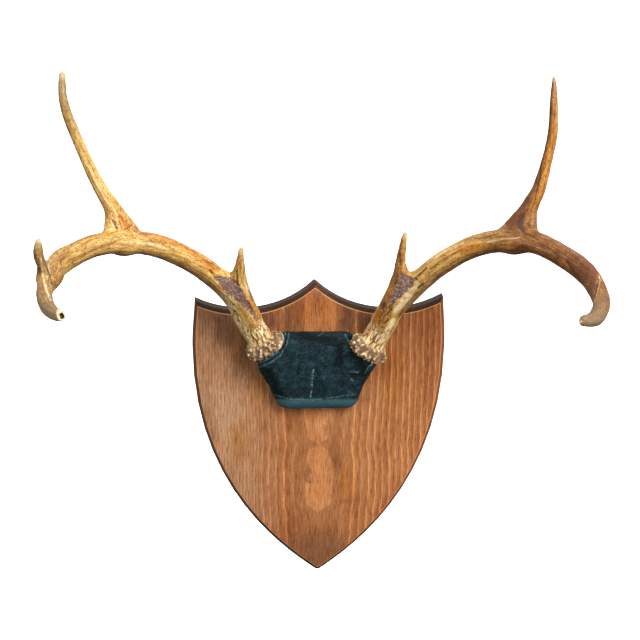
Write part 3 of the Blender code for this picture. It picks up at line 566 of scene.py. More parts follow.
def pine_material():
    """Pine, planed, stained brown and varnished satin. The stain soaks into the soft early wood, so the hard
    late wood of each year stands out as a thin light line, and end grain comes out nearly black."""
    wood = settings().wood
    material, tree = new_material("stained pine")
    place = add(tree, "TexCoord").outputs["Object"]
    x, y, z = add(tree, "SeparateXYZ", {0: place}).outputs
    height = add(tree, "MapRange", {"Value": z, "From Min": BOARD_LOW.z, "From Max": BOARD_HIGH.z})

    # Growth rings, by their distance from the pith behind the face
    sway = stretched_noise(tree, place, (0.045, 0.045, 0.050), 4.0, 0.55)
    across = add(tree, "Math", {0: sway, 1: RING_SWAY, 2: x}, operation="MULTIPLY_ADD")
    across = add(tree, "Math", {0: across, 1: RING_SWAY / 2 + PITH_OFFSET}, operation="SUBTRACT")
    shares = add(tree, "ValToRGB", {"Fac": height}, stops=RING_SHARES, blend="CARDINAL")
    rise = add(tree, "Math", {0: shares, 1: RING_RISE, 2: wood.pith_depth - ISLAND_DEPTH},
               operation="MULTIPLY_ADD")
    ripple = stretched_noise(tree, place, (0.005, 0.005, 0.011), 3.0)
    rise = add(tree, "Math", {0: ripple, 1: RING_RIPPLE, 2: rise}, operation="MULTIPLY_ADD")
    rise = add(tree, "Math", {0: rise, 1: RING_RIPPLE / 2}, operation="SUBTRACT")
    behind = add(tree, "Math", {0: y, 1: -BOARD_FACE}, operation="ADD")
    depth = add(tree, "Math", {0: rise, 1: behind}, operation="SUBTRACT")
    radius = add(tree, "CombineXYZ", {0: across, 1: depth})
    radius = add(tree, "VectorMath", {0: radius}, operation="LENGTH").outputs["Value"]

    # Years get narrower towards the bark on the left
    narrow = add(tree, "Math", {0: across, 1: -1.0}, operation="MULTIPLY")
    narrow = add(tree, "Math", {0: narrow, 1: NARROW_FROM}, operation="SUBTRACT")
    narrow = add(tree, "Math", {0: narrow, 1: 0.0}, operation="MAXIMUM")
    radius = add(tree, "Math", {0: narrow, 1: NARROWING, 2: radius}, operation="MULTIPLY_ADD")
    years = add(tree, "Math", {0: radius, 1: wood.pith_depth}, operation="SUBTRACT")
    years = add(tree, "Math", {0: years, 1: wood.ring_width}, operation="DIVIDE")
    season = add(tree, "Math", {0: years}, operation="FRACT")
    line = add(tree, "ValToRGB", {"Fac": season},
               stops=((0.0, 0.95), (0.09, 1.0), (0.20, 0.42), (0.42, 0.22), (0.72, 0.0), (0.90, 0.12),
                      (0.98, 0.8)))
    count = len(RING_LIGHTNESS)
    nearest = add(tree, "MapRange", {"Value": years, "From Min": -0.3, "From Max": count - 0.3})
    lightness = add(tree, "ValToRGB", {"Fac": nearest}, blend="CONSTANT",
                    stops=[(number / count, value) for number, value in enumerate(RING_LIGHTNESS)])
    late = add(tree, "Math", {0: line, 1: lightness}, operation="MULTIPLY")
    inside = add(tree, "MapRange", {"Value": years, "From Min": 0.03, "From Max": -0.02, "To Max": 0.55})
    late = add(tree, "Math", {0: late, 1: inside}, operation="MAXIMUM")

    fibres = stretched_noise(tree, place, (0.0009, 0.0009, 0.014), 3.0, 0.65)
    rays = stretched_noise(tree, place, (0.0022, 0.0022, 0.0012), 1.0)
    stain = stretched_noise(tree, place, (0.020, 0.020, 0.055), 4.0, 0.6)

    # The spots of stain and of painted shadow have ragged borders
    warp = add(tree, "TexNoise", {"Vector": place, "Scale": 1 / 0.007, "Detail": 3.0}).outputs["Color"]
    warp = add(tree, "VectorMath", {0: warp, 1: (0.5, 0.5, 0.5)}, operation="SUBTRACT")
    spotted = add(tree, "VectorMath", {0: warp, 1: (0.014, 0.014, 0.014), 2: place},
                  operation="MULTIPLY_ADD")

    # Colour: late wood on early wood, greyer on the left, browner at the top and darkest at the tip
    colour = add(tree, "Mix", {0: late, 6: wood.earlywood, 7: wood.latewood}, data_type="RGBA")
    width = add(tree, "MapRange", {"Value": x, "From Min": BOARD_LOW.x, "From Max": BOARD_HIGH.x})
    side_tint = add(tree, "ValToRGB", {"Fac": width},
                    stops=((0.0, linear("#e0dfdc")), (0.2, linear("#e4e2e0")), (0.36, linear("#f6f0ea")),
                           (0.55, (1, 1, 1)), (0.80, linear("#fffaf4")), (1.0, linear("#f2eae4"))))
    colour = add(tree, "Mix", {0: 1.0, 6: colour, 7: side_tint}, data_type="RGBA", blend_type="MULTIPLY")
    greyed = add(tree, "MapRange", {"Value": x, "From Min": -0.03, "From Max": -0.09, "To Max": 0.45})
    colour = add(tree, "Mix", {0: greyed, 6: colour, 7: linear("#b59a7e")}, data_type="RGBA")
    rise_tint = add(tree, "ValToRGB", {"Fac": height},
                    stops=((0.0, linear("#d8cfcb")), (0.18, linear("#f4efec")), (0.35, (1, 1, 1)),
                           (0.62, (1, 1, 1)), (0.85, linear("#ebe2de")), (1.0, linear("#e6d8d0"))))
    colour = add(tree, "Mix", {0: 1.0, 6: colour, 7: rise_tint}, data_type="RGBA", blend_type="MULTIPLY")
    amber = patches(tree, spotted, AMBER_PATCHES)
    amber = add(tree, "Mix", {0: amber, 6: (1.0, 1.0, 1.0), 7: linear("#fff0b4")}, data_type="RGBA")
    colour = add(tree, "Mix", {0: 1.0, 6: colour, 7: amber}, data_type="RGBA", blend_type="MULTIPLY")
    stain_tint = add(tree, "ValToRGB", {"Fac": stain},
                     stops=((0.30, linear("#c9b6aa")), (0.48, linear("#f6ece4")), (0.62, (1, 1, 1))))
    colour = add(tree, "Mix", {0: 0.8, 6: colour, 7: stain_tint}, data_type="RGBA", blend_type="MULTIPLY")
    # Painted shadow beside the burrs and left of the left antler, and dark stain elsewhere, broken up by the
    # stain noise
    worn = add(tree, "Math", {0: stain, 1: -0.6, 2: 1.3}, operation="MULTIPLY_ADD")
    dark = add(tree, "Math", {0: patches(tree, spotted, SHADOW_AND_STAIN_PATCHES), 1: worn}, operation="MULTIPLY")
    colour = add(tree, "Mix", {0: dark, 6: colour, 7: linear("#5b4030")}, data_type="RGBA")
    fibre_tint = add(tree, "ValToRGB", {"Fac": fibres},
                     stops=((0.32, linear("#9d7a64")), (0.47, linear("#ecdfd5")), (0.60, (1, 1, 1))))
    colour = add(tree, "Mix", {0: 0.85, 6: colour, 7: fibre_tint}, data_type="RGBA", blend_type="MULTIPLY")
    ray_tint = add(tree, "ValToRGB", {"Fac": rays}, stops=((0.36, linear("#cdb9ac")), (0.5, (1, 1, 1))))
    colour = add(tree, "Mix", {0: 0.3, 6: colour, 7: ray_tint}, data_type="RGBA", blend_type="MULTIPLY")

    # Shaped edge: a light arris, partly stain rubbed thin and partly a painted highlight, then stain that
    # goes darker the more the edge cuts across the grain; its right side is painted lighter and its left and
    # lower sides darker, as painted light and shade
    normal = add(tree, "NewGeometry").outputs["Normal"]
    outwards = add(tree, "VectorMath", {0: normal, 1: (1, 0, 1)}, operation="MULTIPLY")
    outwards = add(tree, "VectorMath", {0: outwards}, operation="NORMALIZE")
    way = add(tree, "SeparateXYZ", {0: outwards}).outputs
    steep = add(tree, "Math", {0: way["Z"]}, operation="ABSOLUTE")
    end_grain = add(tree, "MapRange", {"Value": steep, "From Min": 0.50, "From Max": 0.90})
    # Painted light: the share of the right-facing side, which gets the lighter flank colour
    lit_right_side = add(tree, "MapRange", {"Value": way["X"], "From Min": 0.30, "From Max": 0.80})
    edge_colour = add(tree, "Mix", {0: lit_right_side, 6: wood.shaded_side_stain, 7: wood.lit_side_stain}, data_type="RGBA")
    edge_colour = add(tree, "Mix", {0: end_grain, 6: edge_colour, 7: wood.edge_stain}, data_type="RGBA")
    edge_colour = add(tree, "Mix", {0: 0.8, 6: edge_colour, 7: fibre_tint}, data_type="RGBA",
                      blend_type="MULTIPLY")
    edge = add(tree, "MapRange", {"Value": behind, "From Min": 0.0, "From Max": EDGE_WIDTH})
    arris = ARRIS_DEPTH / EDGE_WIDTH
    # Light arris: partly stain rubbed thin, partly a painted highlight
    arris_wear_and_highlight = add(tree, "ValToRGB", {"Fac": edge}, stops=((0.02 * arris, 0.0), (0.25 * arris, 0.6)))
    colour = add(tree, "Mix", {0: arris_wear_and_highlight, 6: colour, 7: wood.latewood}, data_type="RGBA")
    edge_share = add(tree, "ValToRGB", {"Fac": edge}, stops=((0.5 * arris, 0.0), (arris, 1.0)))
    colour = add(tree, "Mix", {0: edge_share, 6: colour, 7: edge_colour}, data_type="RGBA")

    gloss = add(tree, "MapRange", {"Value": late, "To Min": 0.52, "To Max": 0.42})
    relief = add(tree, "Math", {0: fibres, 1: 0.5, 2: late}, operation="MULTIPLY_ADD")
    bump = add(tree, "Bump", {"Strength": 0.25, "Distance": 0.0002, "Height": relief})
    shader = add(tree, "BsdfPrincipled", {"Base Color": colour, "Roughness": gloss,
                                          "Specular IOR Level": 0.12, "Normal": bump})
    add(tree, "OutputMaterial", {"Surface": shader})
    return material


class ANTLER_PLAQUE_OT_board(bpy.types.Operator):
    """Shield board of stained pine"""
    bl_idname = "antler_plaque.board"
    bl_label = "Shield board"

    def execute(self, context):
        board = merged_copy(BOARD, "shield_board")
        bpy.ops.object.shade_smooth_by_angle(angle=math.radians(25))
        finish_with(board, "WEIGHTED_NORMAL", keep_sharp=True, weight=90)
        board.data.materials.append(pine_material())
        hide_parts(BOARD)
        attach(board, "root")
        return {"FINISHED"}


# Velvet

PUCKER_HEIGHT = 0.0004          # the cloth's soft unevenness over its filler
TUFT_HEIGHT = 0.00012


def velvet_material():
    """Cotton velvet, brushed: nearly black teal when seen from the front, with fine pale specks of crushed
    tufts, a painted sheen highlight as a thin pale line along each fold and the seam, painted sheen on the
    lower rim and painted shade in the dents."""
    velvet = settings().velvet
    material, tree = new_material("teal velvet")
    place = add(tree, "TexCoord").outputs["Object"]
    crease_sheen, rim, dent_shade = (add(tree, "Attribute", attribute_name=name).outputs["Fac"]
                         for name in ("crease_sheen", "rim", "dent_shade"))
    dust = add(tree, "TexNoise", {"Vector": place, "Scale": 1 / 0.0010, "Detail": 2.0, "Roughness": 0.7})
    crushed = add(tree, "TexNoise", {"Vector": place, "Scale": 1 / 0.0065, "Detail": 4.0, "Roughness": 0.6})
    speckle = add(tree, "ValToRGB", {"Fac": dust}, stops=((0.48, 0.0), (0.58, 0.32), (0.68, 1.0)))
    patch = add(tree, "ValToRGB", {"Fac": crushed}, stops=((0.38, 0.0), (0.56, 0.10), (0.72, 0.32)))
    share = add(tree, "Math", {0: speckle, 1: 0.44, 2: patch}, operation="MULTIPLY_ADD")
    # Painted shade in the dents
    share = add(tree, "Math", {0: dent_shade, 1: -0.45, 2: share}, operation="MULTIPLY_ADD", use_clamp=True)
    # Painted sheen on the lower rim
    share = add(tree, "Math", {0: rim, 1: 0.66, 2: share}, operation="MULTIPLY_ADD", use_clamp=True)
    colour = add(tree, "Mix", {0: share, 6: velvet.pile, 7: velvet.pile_light}, data_type="RGBA")
    # Painted sheen highlight along the folds and the seam
    colour = add(tree, "Mix", {0: crease_sheen, 6: colour, 7: linear("#7b9da1")}, data_type="RGBA")
    bump = add(tree, "Bump", {"Strength": 0.6, "Distance": 0.0005, "Height": dust})
    shader = add(tree, "BsdfPrincipled", {"Base Color": colour, "Roughness": 0.9, "Specular IOR Level": 0.12,
                                          "Sheen Weight": 0.03, "Sheen Roughness": 0.3,
                                          "Sheen Tint": linear("#5f8f97"), "Normal": bump})
    add(tree, "OutputMaterial", {"Surface": shader})
    return material


class ANTLER_PLAQUE_OT_skull_cap(bpy.types.Operator):
    """Velvet stretched over the skull cap and its filler"""
    bl_idname = "antler_plaque.skull_cap"
    bl_label = "Velvet skull cap"

    def execute(self, context):
        velvet = settings().velvet
        cap = merged_copy(CAP, "velvet_cover")
        finish_with(cap, "REMESH", mode="VOXEL", voxel_size=velvet.cell)
        relax(cap, 6)
        finish_with(cap, "SUBSURF", levels=1, render_levels=1)
        points = read_points(cap)
        normals = read_normals(cap)
        pixels = seen_at(points)
        front = facing(points, normals)
        broken = smoothstep(-0.35, 0.25, noise_at(points, (0.0022, 0.0022, 0.0022), 3.0))
        crease_sheen = drawn_all(pixels, VELVET_CREASES, 1.3) * front * (0.35 + 0.65 * broken)
        seam = drawn_all(pixels, VELVET_SEAM, 1.4) * front * broken
        fold = drawn(pixels, VELVET_FOLD, 1.6) * front
        tuft = drawn(pixels, VELVET_TUFT, 2.4) * front
        # Dents are sunk and later darkened with painted shade
        dent_shade = drawn_all(pixels, VELVET_SHADED_DENTS, 13.0) * front
        # The lower rim is raised a little and given painted sheen
        rim = smoothstep(*VELVET_RIM_ROWS, pixels[:, 1]) * front
        puckers = noise_at(points, (0.009, 0.009, 0.009), 3.0)
        tufts = noise_at(points, (0.0024, 0.0024, 0.0024), 6.0)
        off_board = smoothstep(0.0004, 0.003, BOARD_FACE - points[:, 1])
        height = velvet.crease_depth * (crease_sheen + 0.4 * fold + 0.15 * rim + 1.2 * tuft - 0.9 * dent_shade
                                        + 0.5 * seam)
        height += PUCKER_HEIGHT * puckers + TUFT_HEIGHT * tufts
        write_points(cap, points + normals * (height * off_board)[:, None])
        # The crease_sheen mask paints a pale sheen highlight along the folds and the seam
        write_mask(cap, "crease_sheen", np.maximum(np.maximum(0.55 * crease_sheen, 0.5 * seam), 0.22 * fold * broken))
        write_mask(cap, "rim", rim * (1 - tuft))
        write_mask(cap, "dent_shade", dent_shade)
        bpy.ops.object.shade_smooth()
        cap.data.materials.append(velvet_material())
        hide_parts(CAP)
        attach(cap, "root")
        return {"FINISHED"}


# Antlers

SEAT_DIRECTION = (0.4704, 0.1857, 0.8627)       # out, forward and up through the burr
BELOW_BURR = 18                 # mm of pedicle under the burr that count as beam
ROUTE_STEP = 1.0                # mm
TIP_LENGTH = 16                 # mm of a tip that are stretched back to its full length
CROTCH_ROUNDS = 10
TORN_BORDER = 2.6               # pixels by which the borders of hollows and stains wander
HOLLOW_DEPTH = 0.0013
PIT_HEIGHT = 0.0007
SCAR_DEPTH = 0.0005
CREST_HEIGHT = 0.0005
GROOVE_HEIGHT = 0.00045
LUMP_HEIGHT = 0.0003
CRAG_HEIGHT = 0.0009


class Places(NamedTuple):
    """Where the points of an antler lie on its branches, an array for each."""
    branch: np.ndarray
    along: np.ndarray           # mm from the burr, or from the branch's root
    to_end: np.ndarray          # mm left to the branch's end
    grain: np.ndarray           # across, across and along the branch as if it were straight
    way: np.ndarray             # unit vector along the branch
    lone: np.ndarray            # 1 where no other branch is near, 0 in a crotch
    gaps: np.ndarray            # distance to the surface of each branch
    outwards: np.ndarray        # unit vector away from each branch's centre line


def burr_centre(side):
    return np.array((CAP_MIDDLE + side * BURR_SPREAD / 2, BOARD_FACE - BURR_STANDOFF,
                     CAP_HIGH.z - BURR_BELOW_CAP_TOP - side * BURR_LEAN / 2))


def smooth_route(stations, step):
    """Rows every step or less along a smooth curve through the stations."""
    stations = np.array(stations, float)
    rows = np.vstack((2 * stations[0] - stations[1], stations, 2 * stations[-1] - stations[-2]))
    pieces = []
    for before, here, there, after in zip(rows, rows[1:], rows[2:], rows[3:]):
        count = max(2, math.ceil(np.linalg.norm((there - here)[:3]) / step))
        share = np.arange(count)[:, None] / count
        bend = 2 * before - 5 * here + 4 * there - after
        twist = 3 * here - before - 3 * there + after
        pieces.append((2 * here + (there - before) * share + bend * share ** 2 + twist * share ** 3) / 2)
    return np.vstack((*pieces, stations[-1:]))


def carried_sides(directions):
    """A direction square to the route at each of its points, which turns with it and doesn't twist."""
    side = directions[0].orthogonal().normalized()
    sides = []
    for earlier, later in zip([directions[0], *directions], directions):
        side = earlier.rotation_difference(later) @ side
        sides.append(side)
    return np.array(sides)


def branch_places(side, points):
    """Finds each point's place on every branch of an antler, and keeps that on the branch it belongs to."""
    gaps = []
    alongs = []
    ends = []
    grains = []
    headings = []
    outwards = []
    for number, stations in enumerate(BRANCHES[side]):
        start = 0.0
        if number == BEAM:
            below = (*(-BELOW_BURR * share for share in SEAT_DIRECTION), stations[0][3])
            stations = (below, *stations)
            start = -BELOW_BURR
        route = smooth_route(stations, ROUTE_STEP)
        middles = burr_centre(side) + route[:, :3] * (side * MM, -MM, MM)
        steps = np.linalg.norm(np.diff(route[:, :3], axis=0), axis=1)
        lengths = start + np.concatenate(((0.0,), np.cumsum(steps)))
        ways = [Vector(way).normalized() for way in np.gradient(middles, axis=0)]
        sides = carried_sides(ways)
        ways = np.array(ways)
        tree = KDTree(len(middles))
        for place, middle in enumerate(middles):
            tree.insert(middle, place)
        tree.balance()
        nearest = np.array([tree.find(point)[1] for point in points.tolist()])
        offset = points - middles[nearest]
        along = lengths[nearest] + (offset * ways[nearest]).sum(1) / MM
        across = (offset * sides[nearest]).sum(1)
        other = (offset * np.cross(ways[nearest], sides[nearest])).sum(1)
        distance = np.linalg.norm(offset, axis=1)
        gaps.append(distance - route[nearest, 3] * MM)
        outwards.append(offset / np.maximum(distance, 1e-6)[:, None])
        alongs.append(along)
        ends.append(lengths[-1] - along)
        grains.append(np.stack((across, other, along * MM + number), 1))
        headings.append(ways[nearest])
    gaps = np.array(gaps)
    branch = gaps.argmin(0)
    which = np.arange(len(points))
    ordered = np.sort(gaps, axis=0)
    lone = smoothstep(0.0, 0.005, ordered[1] - ordered[0])
    return Places(branch, np.array(alongs)[branch, which], np.array(ends)[branch, which],
                  np.array(grains)[branch, which], np.array(headings)[branch, which],
                  lone, gaps, np.array(outwards))


def fill_crotches(side, antler, reach, rounds):
    """Rounds the valleys where branches meet into one flowing surface. Points only move outwards."""
    points = read_points(antler)
    near = np.flatnonzero(np.sort(branch_places(side, points).gaps, axis=0)[1] < reach)
    which = np.arange(len(near))
    for _ in range(rounds):
        places = branch_places(side, points[near])
        first, second = np.argsort(places.gaps, axis=0)[:2]
        gap = places.gaps[first, which]
        blend = np.clip(1 - (places.gaps[second, which] - gap) / reach, 0, 1)
        push = np.maximum(blend ** 2 * reach / 4 - np.maximum(gap, 0), 0)
        share = blend[:, None] / 2
        way = places.outwards[first, which] * (1 - share) + places.outwards[second, which] * share
        way /= np.maximum(np.linalg.norm(way, axis=1), 0.2)[:, None]
        points[near] += way * (0.8 * push)[:, None]
    write_points(antler, points)


def ends_of(places, count):
    """How far each branch's points reach, in mm left to the end of its route."""
    return [places.to_end[places.branch == branch].min() for branch in range(count)]


def stretch_tips(side, antler, ends):
    """Brings the tips, which smoothing shortens, back to the model's."""
    points = read_points(antler)
    places = branch_places(side, points)
    for branch, (end, now) in enumerate(zip(ends, ends_of(places, len(ends)))):
        share = (1 - smoothstep(0, TIP_LENGTH, places.to_end)) * (places.branch == branch)
        points = points + places.way * (share * (now - end) * MM)[:, None]
    write_points(antler, points)


def along_branches(places, stations):
    """A value for each point, from each branch's rows of (mm from the root, value)."""
    values = np.zeros(len(places.along))
    for branch, rows in enumerate(stations):
        here = places.branch == branch
        values[here] = np.interp(places.along[here], *zip(*rows))
    return values


def horn_material(side):
    """Antler, scrubbed and varnished: dense bone that glows golden where it was rubbed, brown with bark and
    blood in its gutters, and rough and matt where the skin over its core is gone."""
    horn = settings().horn
    material, tree = new_material("varnished golden antler" if side == LEFT else "varnished tawny antler")
    place = add(tree, "TexCoord").outputs["Object"]
    grain = add(tree, "Attribute", attribute_name="grain").outputs["Vector"]
    tawny, amber, pearled, pearls, gutter, burr, hollow, mark, pale, grey = (
        add(tree, "Attribute", attribute_name=name).outputs["Fac"]
        for name in ("tawny", "amber", "pearled", "pearls", "gutter", "burr", "hollow", "mark", "pale",
                     "grey"))

    streaks = stretched_noise(tree, grain, (0.0022, 0.0022, 0.026), 4.0, 0.65)
    flecks = stretched_noise(tree, grain, (0.0012, 0.0012, 0.0028), 2.0, 0.6)
    threads = stretched_noise(tree, grain, (0.0030, 0.0030, 0.0090), 1.5)
    threads = add(tree, "ValToRGB", {"Fac": threads},
                  stops=((0.455, 0.0), (0.49, 1.0), (0.51, 1.0), (0.545, 0.0)))
    clouds = add(tree, "TexNoise", {"Vector": place, "Scale": 1 / 0.013, "Detail": 4.0, "Roughness": 0.6})
    grit = add(tree, "TexNoise", {"Vector": place, "Scale": 1 / 0.0014, "Detail": 2.0, "Roughness": 0.7})
    uneven = add(tree, "Math", {0: grit, 1: 0.5}, operation="SUBTRACT")

    # Stains that soaked in, with painted shade on the undersides and tine sides that the tawny mask carries,
    # then streaks and flecks along the grain
    share = add(tree, "MapRange", {"Value": clouds, "From Min": 0.3, "From Max": 0.7, "To Min": -0.24,
                                   "To Max": 0.24})
    share = add(tree, "Math", {0: share, 1: tawny}, operation="ADD", use_clamp=True)
    colour = add(tree, "Mix", {0: amber, 6: horn.golden, 7: horn.amber}, data_type="RGBA")
    colour = add(tree, "Mix", {0: share, 6: colour, 7: horn.tawny}, data_type="RGBA")
    streak_tint = add(tree, "ValToRGB", {"Fac": streaks},
                      stops=((0.32, linear("#8a5f36")), (0.45, linear("#e0caa8")), (0.56, (1, 1, 1))))
    colour = add(tree, "Mix", {0: 0.85, 6: colour, 7: streak_tint}, data_type="RGBA", blend_type="MULTIPLY")
    fleck_tint = add(tree, "ValToRGB", {"Fac": flecks}, stops=((0.34, linear("#7a4f2c")), (0.49, (1, 1, 1))))
    colour = add(tree, "Mix", {0: 0.75, 6: colour, 7: fleck_tint}, data_type="RGBA", blend_type="MULTIPLY")
    colour = add(tree, "Mix", {0: grey, 6: colour, 7: horn.weathered}, data_type="RGBA")

    # Pearls and the burr's knobs, rubbed pale above dirty gutters
    knob = add(tree, "ValToRGB", {"Fac": clouds},
               stops=((0.40, linear("#6a4f3a")), (0.60, linear("#b59a74"))))
    colour = add(tree, "Mix", {0: burr, 6: colour, 7: knob}, data_type="RGBA")
    rubbed = add(tree, "MapRange", {"Value": clouds, "From Min": 0.35, "From Max": 0.62, "To Min": 0.25,
                                    "To Max": 0.95})
    top = add(tree, "Math", {0: pearls, 1: rubbed}, operation="MULTIPLY")
    # The pale mask adds painted highlights along the crests to the worn pale tips
    top = add(tree, "Math", {0: top, 1: pale}, operation="MAXIMUM")
    colour = add(tree, "Mix", {0: top, 6: colour, 7: horn.cream}, data_type="RGBA")
    thread_share = add(tree, "Math", {0: tawny, 1: 0.45, 2: 0.10}, operation="MULTIPLY_ADD")
    thread_share = add(tree, "Math", {0: pearled, 1: 0.35, 2: thread_share}, operation="MULTIPLY_ADD",
                       use_clamp=True)
    thread_share = add(tree, "Math", {0: threads, 1: thread_share}, operation="MULTIPLY")
    thread_share = add(tree, "Math", {0: thread_share, 1: gutter}, operation="MAXIMUM")
    colour = add(tree, "Mix", {0: thread_share, 6: colour, 7: horn.gutter}, data_type="RGBA")

    # Bare core, ragged at its border, and dark scars
    bare = add(tree, "Math", {0: uneven, 1: 0.9, 2: hollow}, operation="MULTIPLY_ADD")
    bare = add(tree, "MapRange", {"Value": bare, "From Min": 0.36, "From Max": 0.60})
    core = add(tree, "ValToRGB", {"Fac": grit},
               stops=((0.36, linear("#5e463c")), (0.50, horn.hollow), (0.60, linear("#947568")),
                      (0.72, linear("#b39a8c"))))
    colour = add(tree, "Mix", {0: bare, 6: colour, 7: core}, data_type="RGBA")
    scar = add(tree, "Math", {0: uneven, 1: 1.5, 2: mark}, operation="MULTIPLY_ADD")
    scar = add(tree, "MapRange", {"Value": scar, "From Min": 0.40, "From Max": 0.80, "To Max": 0.85})
    colour = add(tree, "Mix", {0: scar, 6: colour, 7: linear("#42281a")}, data_type="RGBA")

    dull = add(tree, "Math", {0: thread_share, 1: bare}, operation="MAXIMUM")
    gloss = add(tree, "MapRange", {"Value": streaks, "From Min": 0.3, "From Max": 0.7, "To Min": 0.46,
                                   "To Max": 0.30})
    rough = add(tree, "Mix", {0: dull, 2: gloss, 3: 0.75}, data_type="FLOAT")
    relief = add(tree, "Math", {0: grit, 1: bare}, operation="MULTIPLY")
    relief = add(tree, "Math", {0: streaks, 1: 0.4, 2: relief}, operation="MULTIPLY_ADD")
    relief = add(tree, "Math", {0: thread_share, 1: -0.5, 2: relief}, operation="MULTIPLY_ADD")
    bump = add(tree, "Bump", {"Strength": 0.6, "Distance": 0.0006, "Height": relief})
    shader = add(tree, "BsdfPrincipled", {"Base Color": colour, "Roughness": rough,
                                          "Specular IOR Level": 0.28, "Coat Weight": 0.06,
                                          "Coat Roughness": 0.18, "Normal": bump})
    add(tree, "OutputMaterial", {"Surface": shader})
    return material


def antler_mesh(side, name):
    """The antler as one even mesh, with flowing forks and tips of full length."""
    horn = settings().horn
    antler = merged_copy(ANTLERS[side], name)
    ends = ends_of(branch_places(side, read_points(antler)), len(BRANCHES[side]))
    finish_with(antler, "REMESH", mode="VOXEL", voxel_size=horn.cell)
    relax(antler, 8)
    regrow(antler, ANTLERS[side], 12)
    fill_crotches(side, antler, horn.crotch_reach, CROTCH_ROUNDS)
    relax(antler, 3)
    finish_with(antler, "SUBSURF", levels=1, render_levels=1)
    stretch_tips(side, antler, ends)
    return antler


def carve(side, antler):
    """Raises pearls and knobs, sinks gutters, hollows and scars, and writes the masks that colour them, among
    them painted shade on undersides and tine sides and painted highlights along the crests.
    """
    horn = settings().horn
    points = read_points(antler)
    places = branch_places(side, points)
    beam = places.branch == BEAM
    from_burr = np.where(beam, places.along, PEARL_FREE)
    pixels = seen_at(points)
    normals = read_normals(antler)
    front = facing(points, normals)

    # Pearls on the beam's foot and knobs on its burr
    thick, gone = PEARLED[side]
    ragged = PEARL_BORDER * noise_at(points, (0.012, 0.012, 0.012), 9.0)
    pearled = (1 - smoothstep(thick, gone, from_burr + ragged)) * places.lone
    worm = np.abs(noise_at(places.grain, (horn.pearl_width, horn.pearl_width, horn.pearl_length), 1.7))
    furrow = 1 - smoothstep(0.02, 0.20, worm)
    pearls = pearled * (1 - furrow) * smoothstep(0.08, 0.36, worm)
    burr = 1 - smoothstep(0.75, 1.35, np.abs(from_burr) / (BURR_HALF_HEIGHT / MM))
    knob_grain = (horn.knob_size * 0.8, horn.knob_size * 0.8, horn.knob_size * 1.6)
    craggy = noise_at(places.grain, knob_grain, 5.0)
    craggy += 0.6 * noise_at(points, (horn.knob_size * 0.5,) * 3, 7.0)
    knobs = smoothstep(-0.30, 0.45, craggy)
    uneven = noise_at(points, (0.006, 0.006, 0.006), 2.0)

    # Marks where the photo shows them
    torn = pixels + TORN_BORDER * np.stack((noise_at(points, (0.0045, 0.0045, 0.0045), 11.0),
                                            noise_at(points, (0.0045, 0.0045, 0.0045), 17.0)), 1)
    hollow = drawn_all(torn, HOLLOWS[side], 3.0) * front
    mark = drawn_all(pixels, DARK_MARKS[side], 1.4) * front
    chips = noise_at(places.grain, (0.0016, 0.0016, 0.006), 12.0)
    # Painted highlights along the crests, broken up along the grain
    crest_glint_and_rim = drawn_all(pixels, CREST_GLINTS[side], 1.4) * front * (0.3 + 0.7 * smoothstep(-0.35, 0.25, chips))
    stained = drawn_all(torn, STAINS[side], 8.0) * front
    grooves = noise_at(places.grain, (0.0045, 0.0045, 0.055), 4.0)
    lumps = noise_at(points, (0.008, 0.008, 0.008), 6.0)
    pitted = noise_at(points, (0.0022, 0.0022, 0.0022), 8.0)

    height = horn.pearl_height * (0.35 - furrow) * pearled * (1 - burr)
    height += (2 * horn.knob_height * (knobs - 0.55) + CRAG_HEIGHT * uneven) * burr
    height += (GROOVE_HEIGHT * grooves + LUMP_HEIGHT * lumps) * (1 - burr) * places.lone
    height += (-HOLLOW_DEPTH + PIT_HEIGHT * pitted) * hollow - SCAR_DEPTH * mark + CREST_HEIGHT * crest_glint_and_rim
    if side == LEFT:
        rim = drawn(pixels, BROKEN_RIM, 1.5) * front
        bore = drawn(pixels, BROKEN_BORE, 1.2) * front
        height -= BROKEN_DEPTH * bore
        mark = np.maximum(mark, bore)
        crest_glint_and_rim = np.maximum(crest_glint_and_rim, rim * (1 - bore))
    write_points(antler, points + normals * (height * (1 - 0.5 * hollow * pearled))[:, None])

    # Painted shade: undersides, and the left-facing sides of the tines, are pushed towards tawny brown
    shaded = smoothstep(0.25, 0.90, -normals[:, 2])
    tine_left_shade = ~beam * (smoothstep(0.15, 0.75, -normals[:, 0]))
    shaded = np.maximum(shaded, tine_left_shade * (0.75 if side == RIGHT else 0.35))
    tawny = along_branches(places, TAWNY[side]) + 0.75 * shaded * (1 - pearled)
    tip = (1 - smoothstep(1.0, 6.0, places.to_end)) * ~beam
    worn_knobs = burr * smoothstep(0.75, 1.0, knobs) * smoothstep(0.0, 0.1, uneven)
    gutter = np.maximum(furrow * pearled * (1 - burr), (1 - knobs) * burr)
    masks = {
        "tawny": tawny * (1 - 0.6 * stained),
        "amber": np.maximum(along_branches(places, AMBER[side]), stained),
        "pearled": pearled * (1 - burr),
        "pearls": 0.8 * np.maximum(pearls * (1 - burr), worn_knobs),
        "gutter": 0.95 * gutter,
        "burr": 0.9 * burr,
        "hollow": hollow,
        "mark": mark,
        # Pale: painted highlights along the crests, and the worn tips and broken rim
        "pale": np.maximum(0.65 * crest_glint_and_rim, 0.25 * tip),
        "grey": along_branches(places, GREY[side]),
    }
    write_places(antler, "grain", places.grain)
    for name, values in masks.items():
        write_mask(antler, name, values)


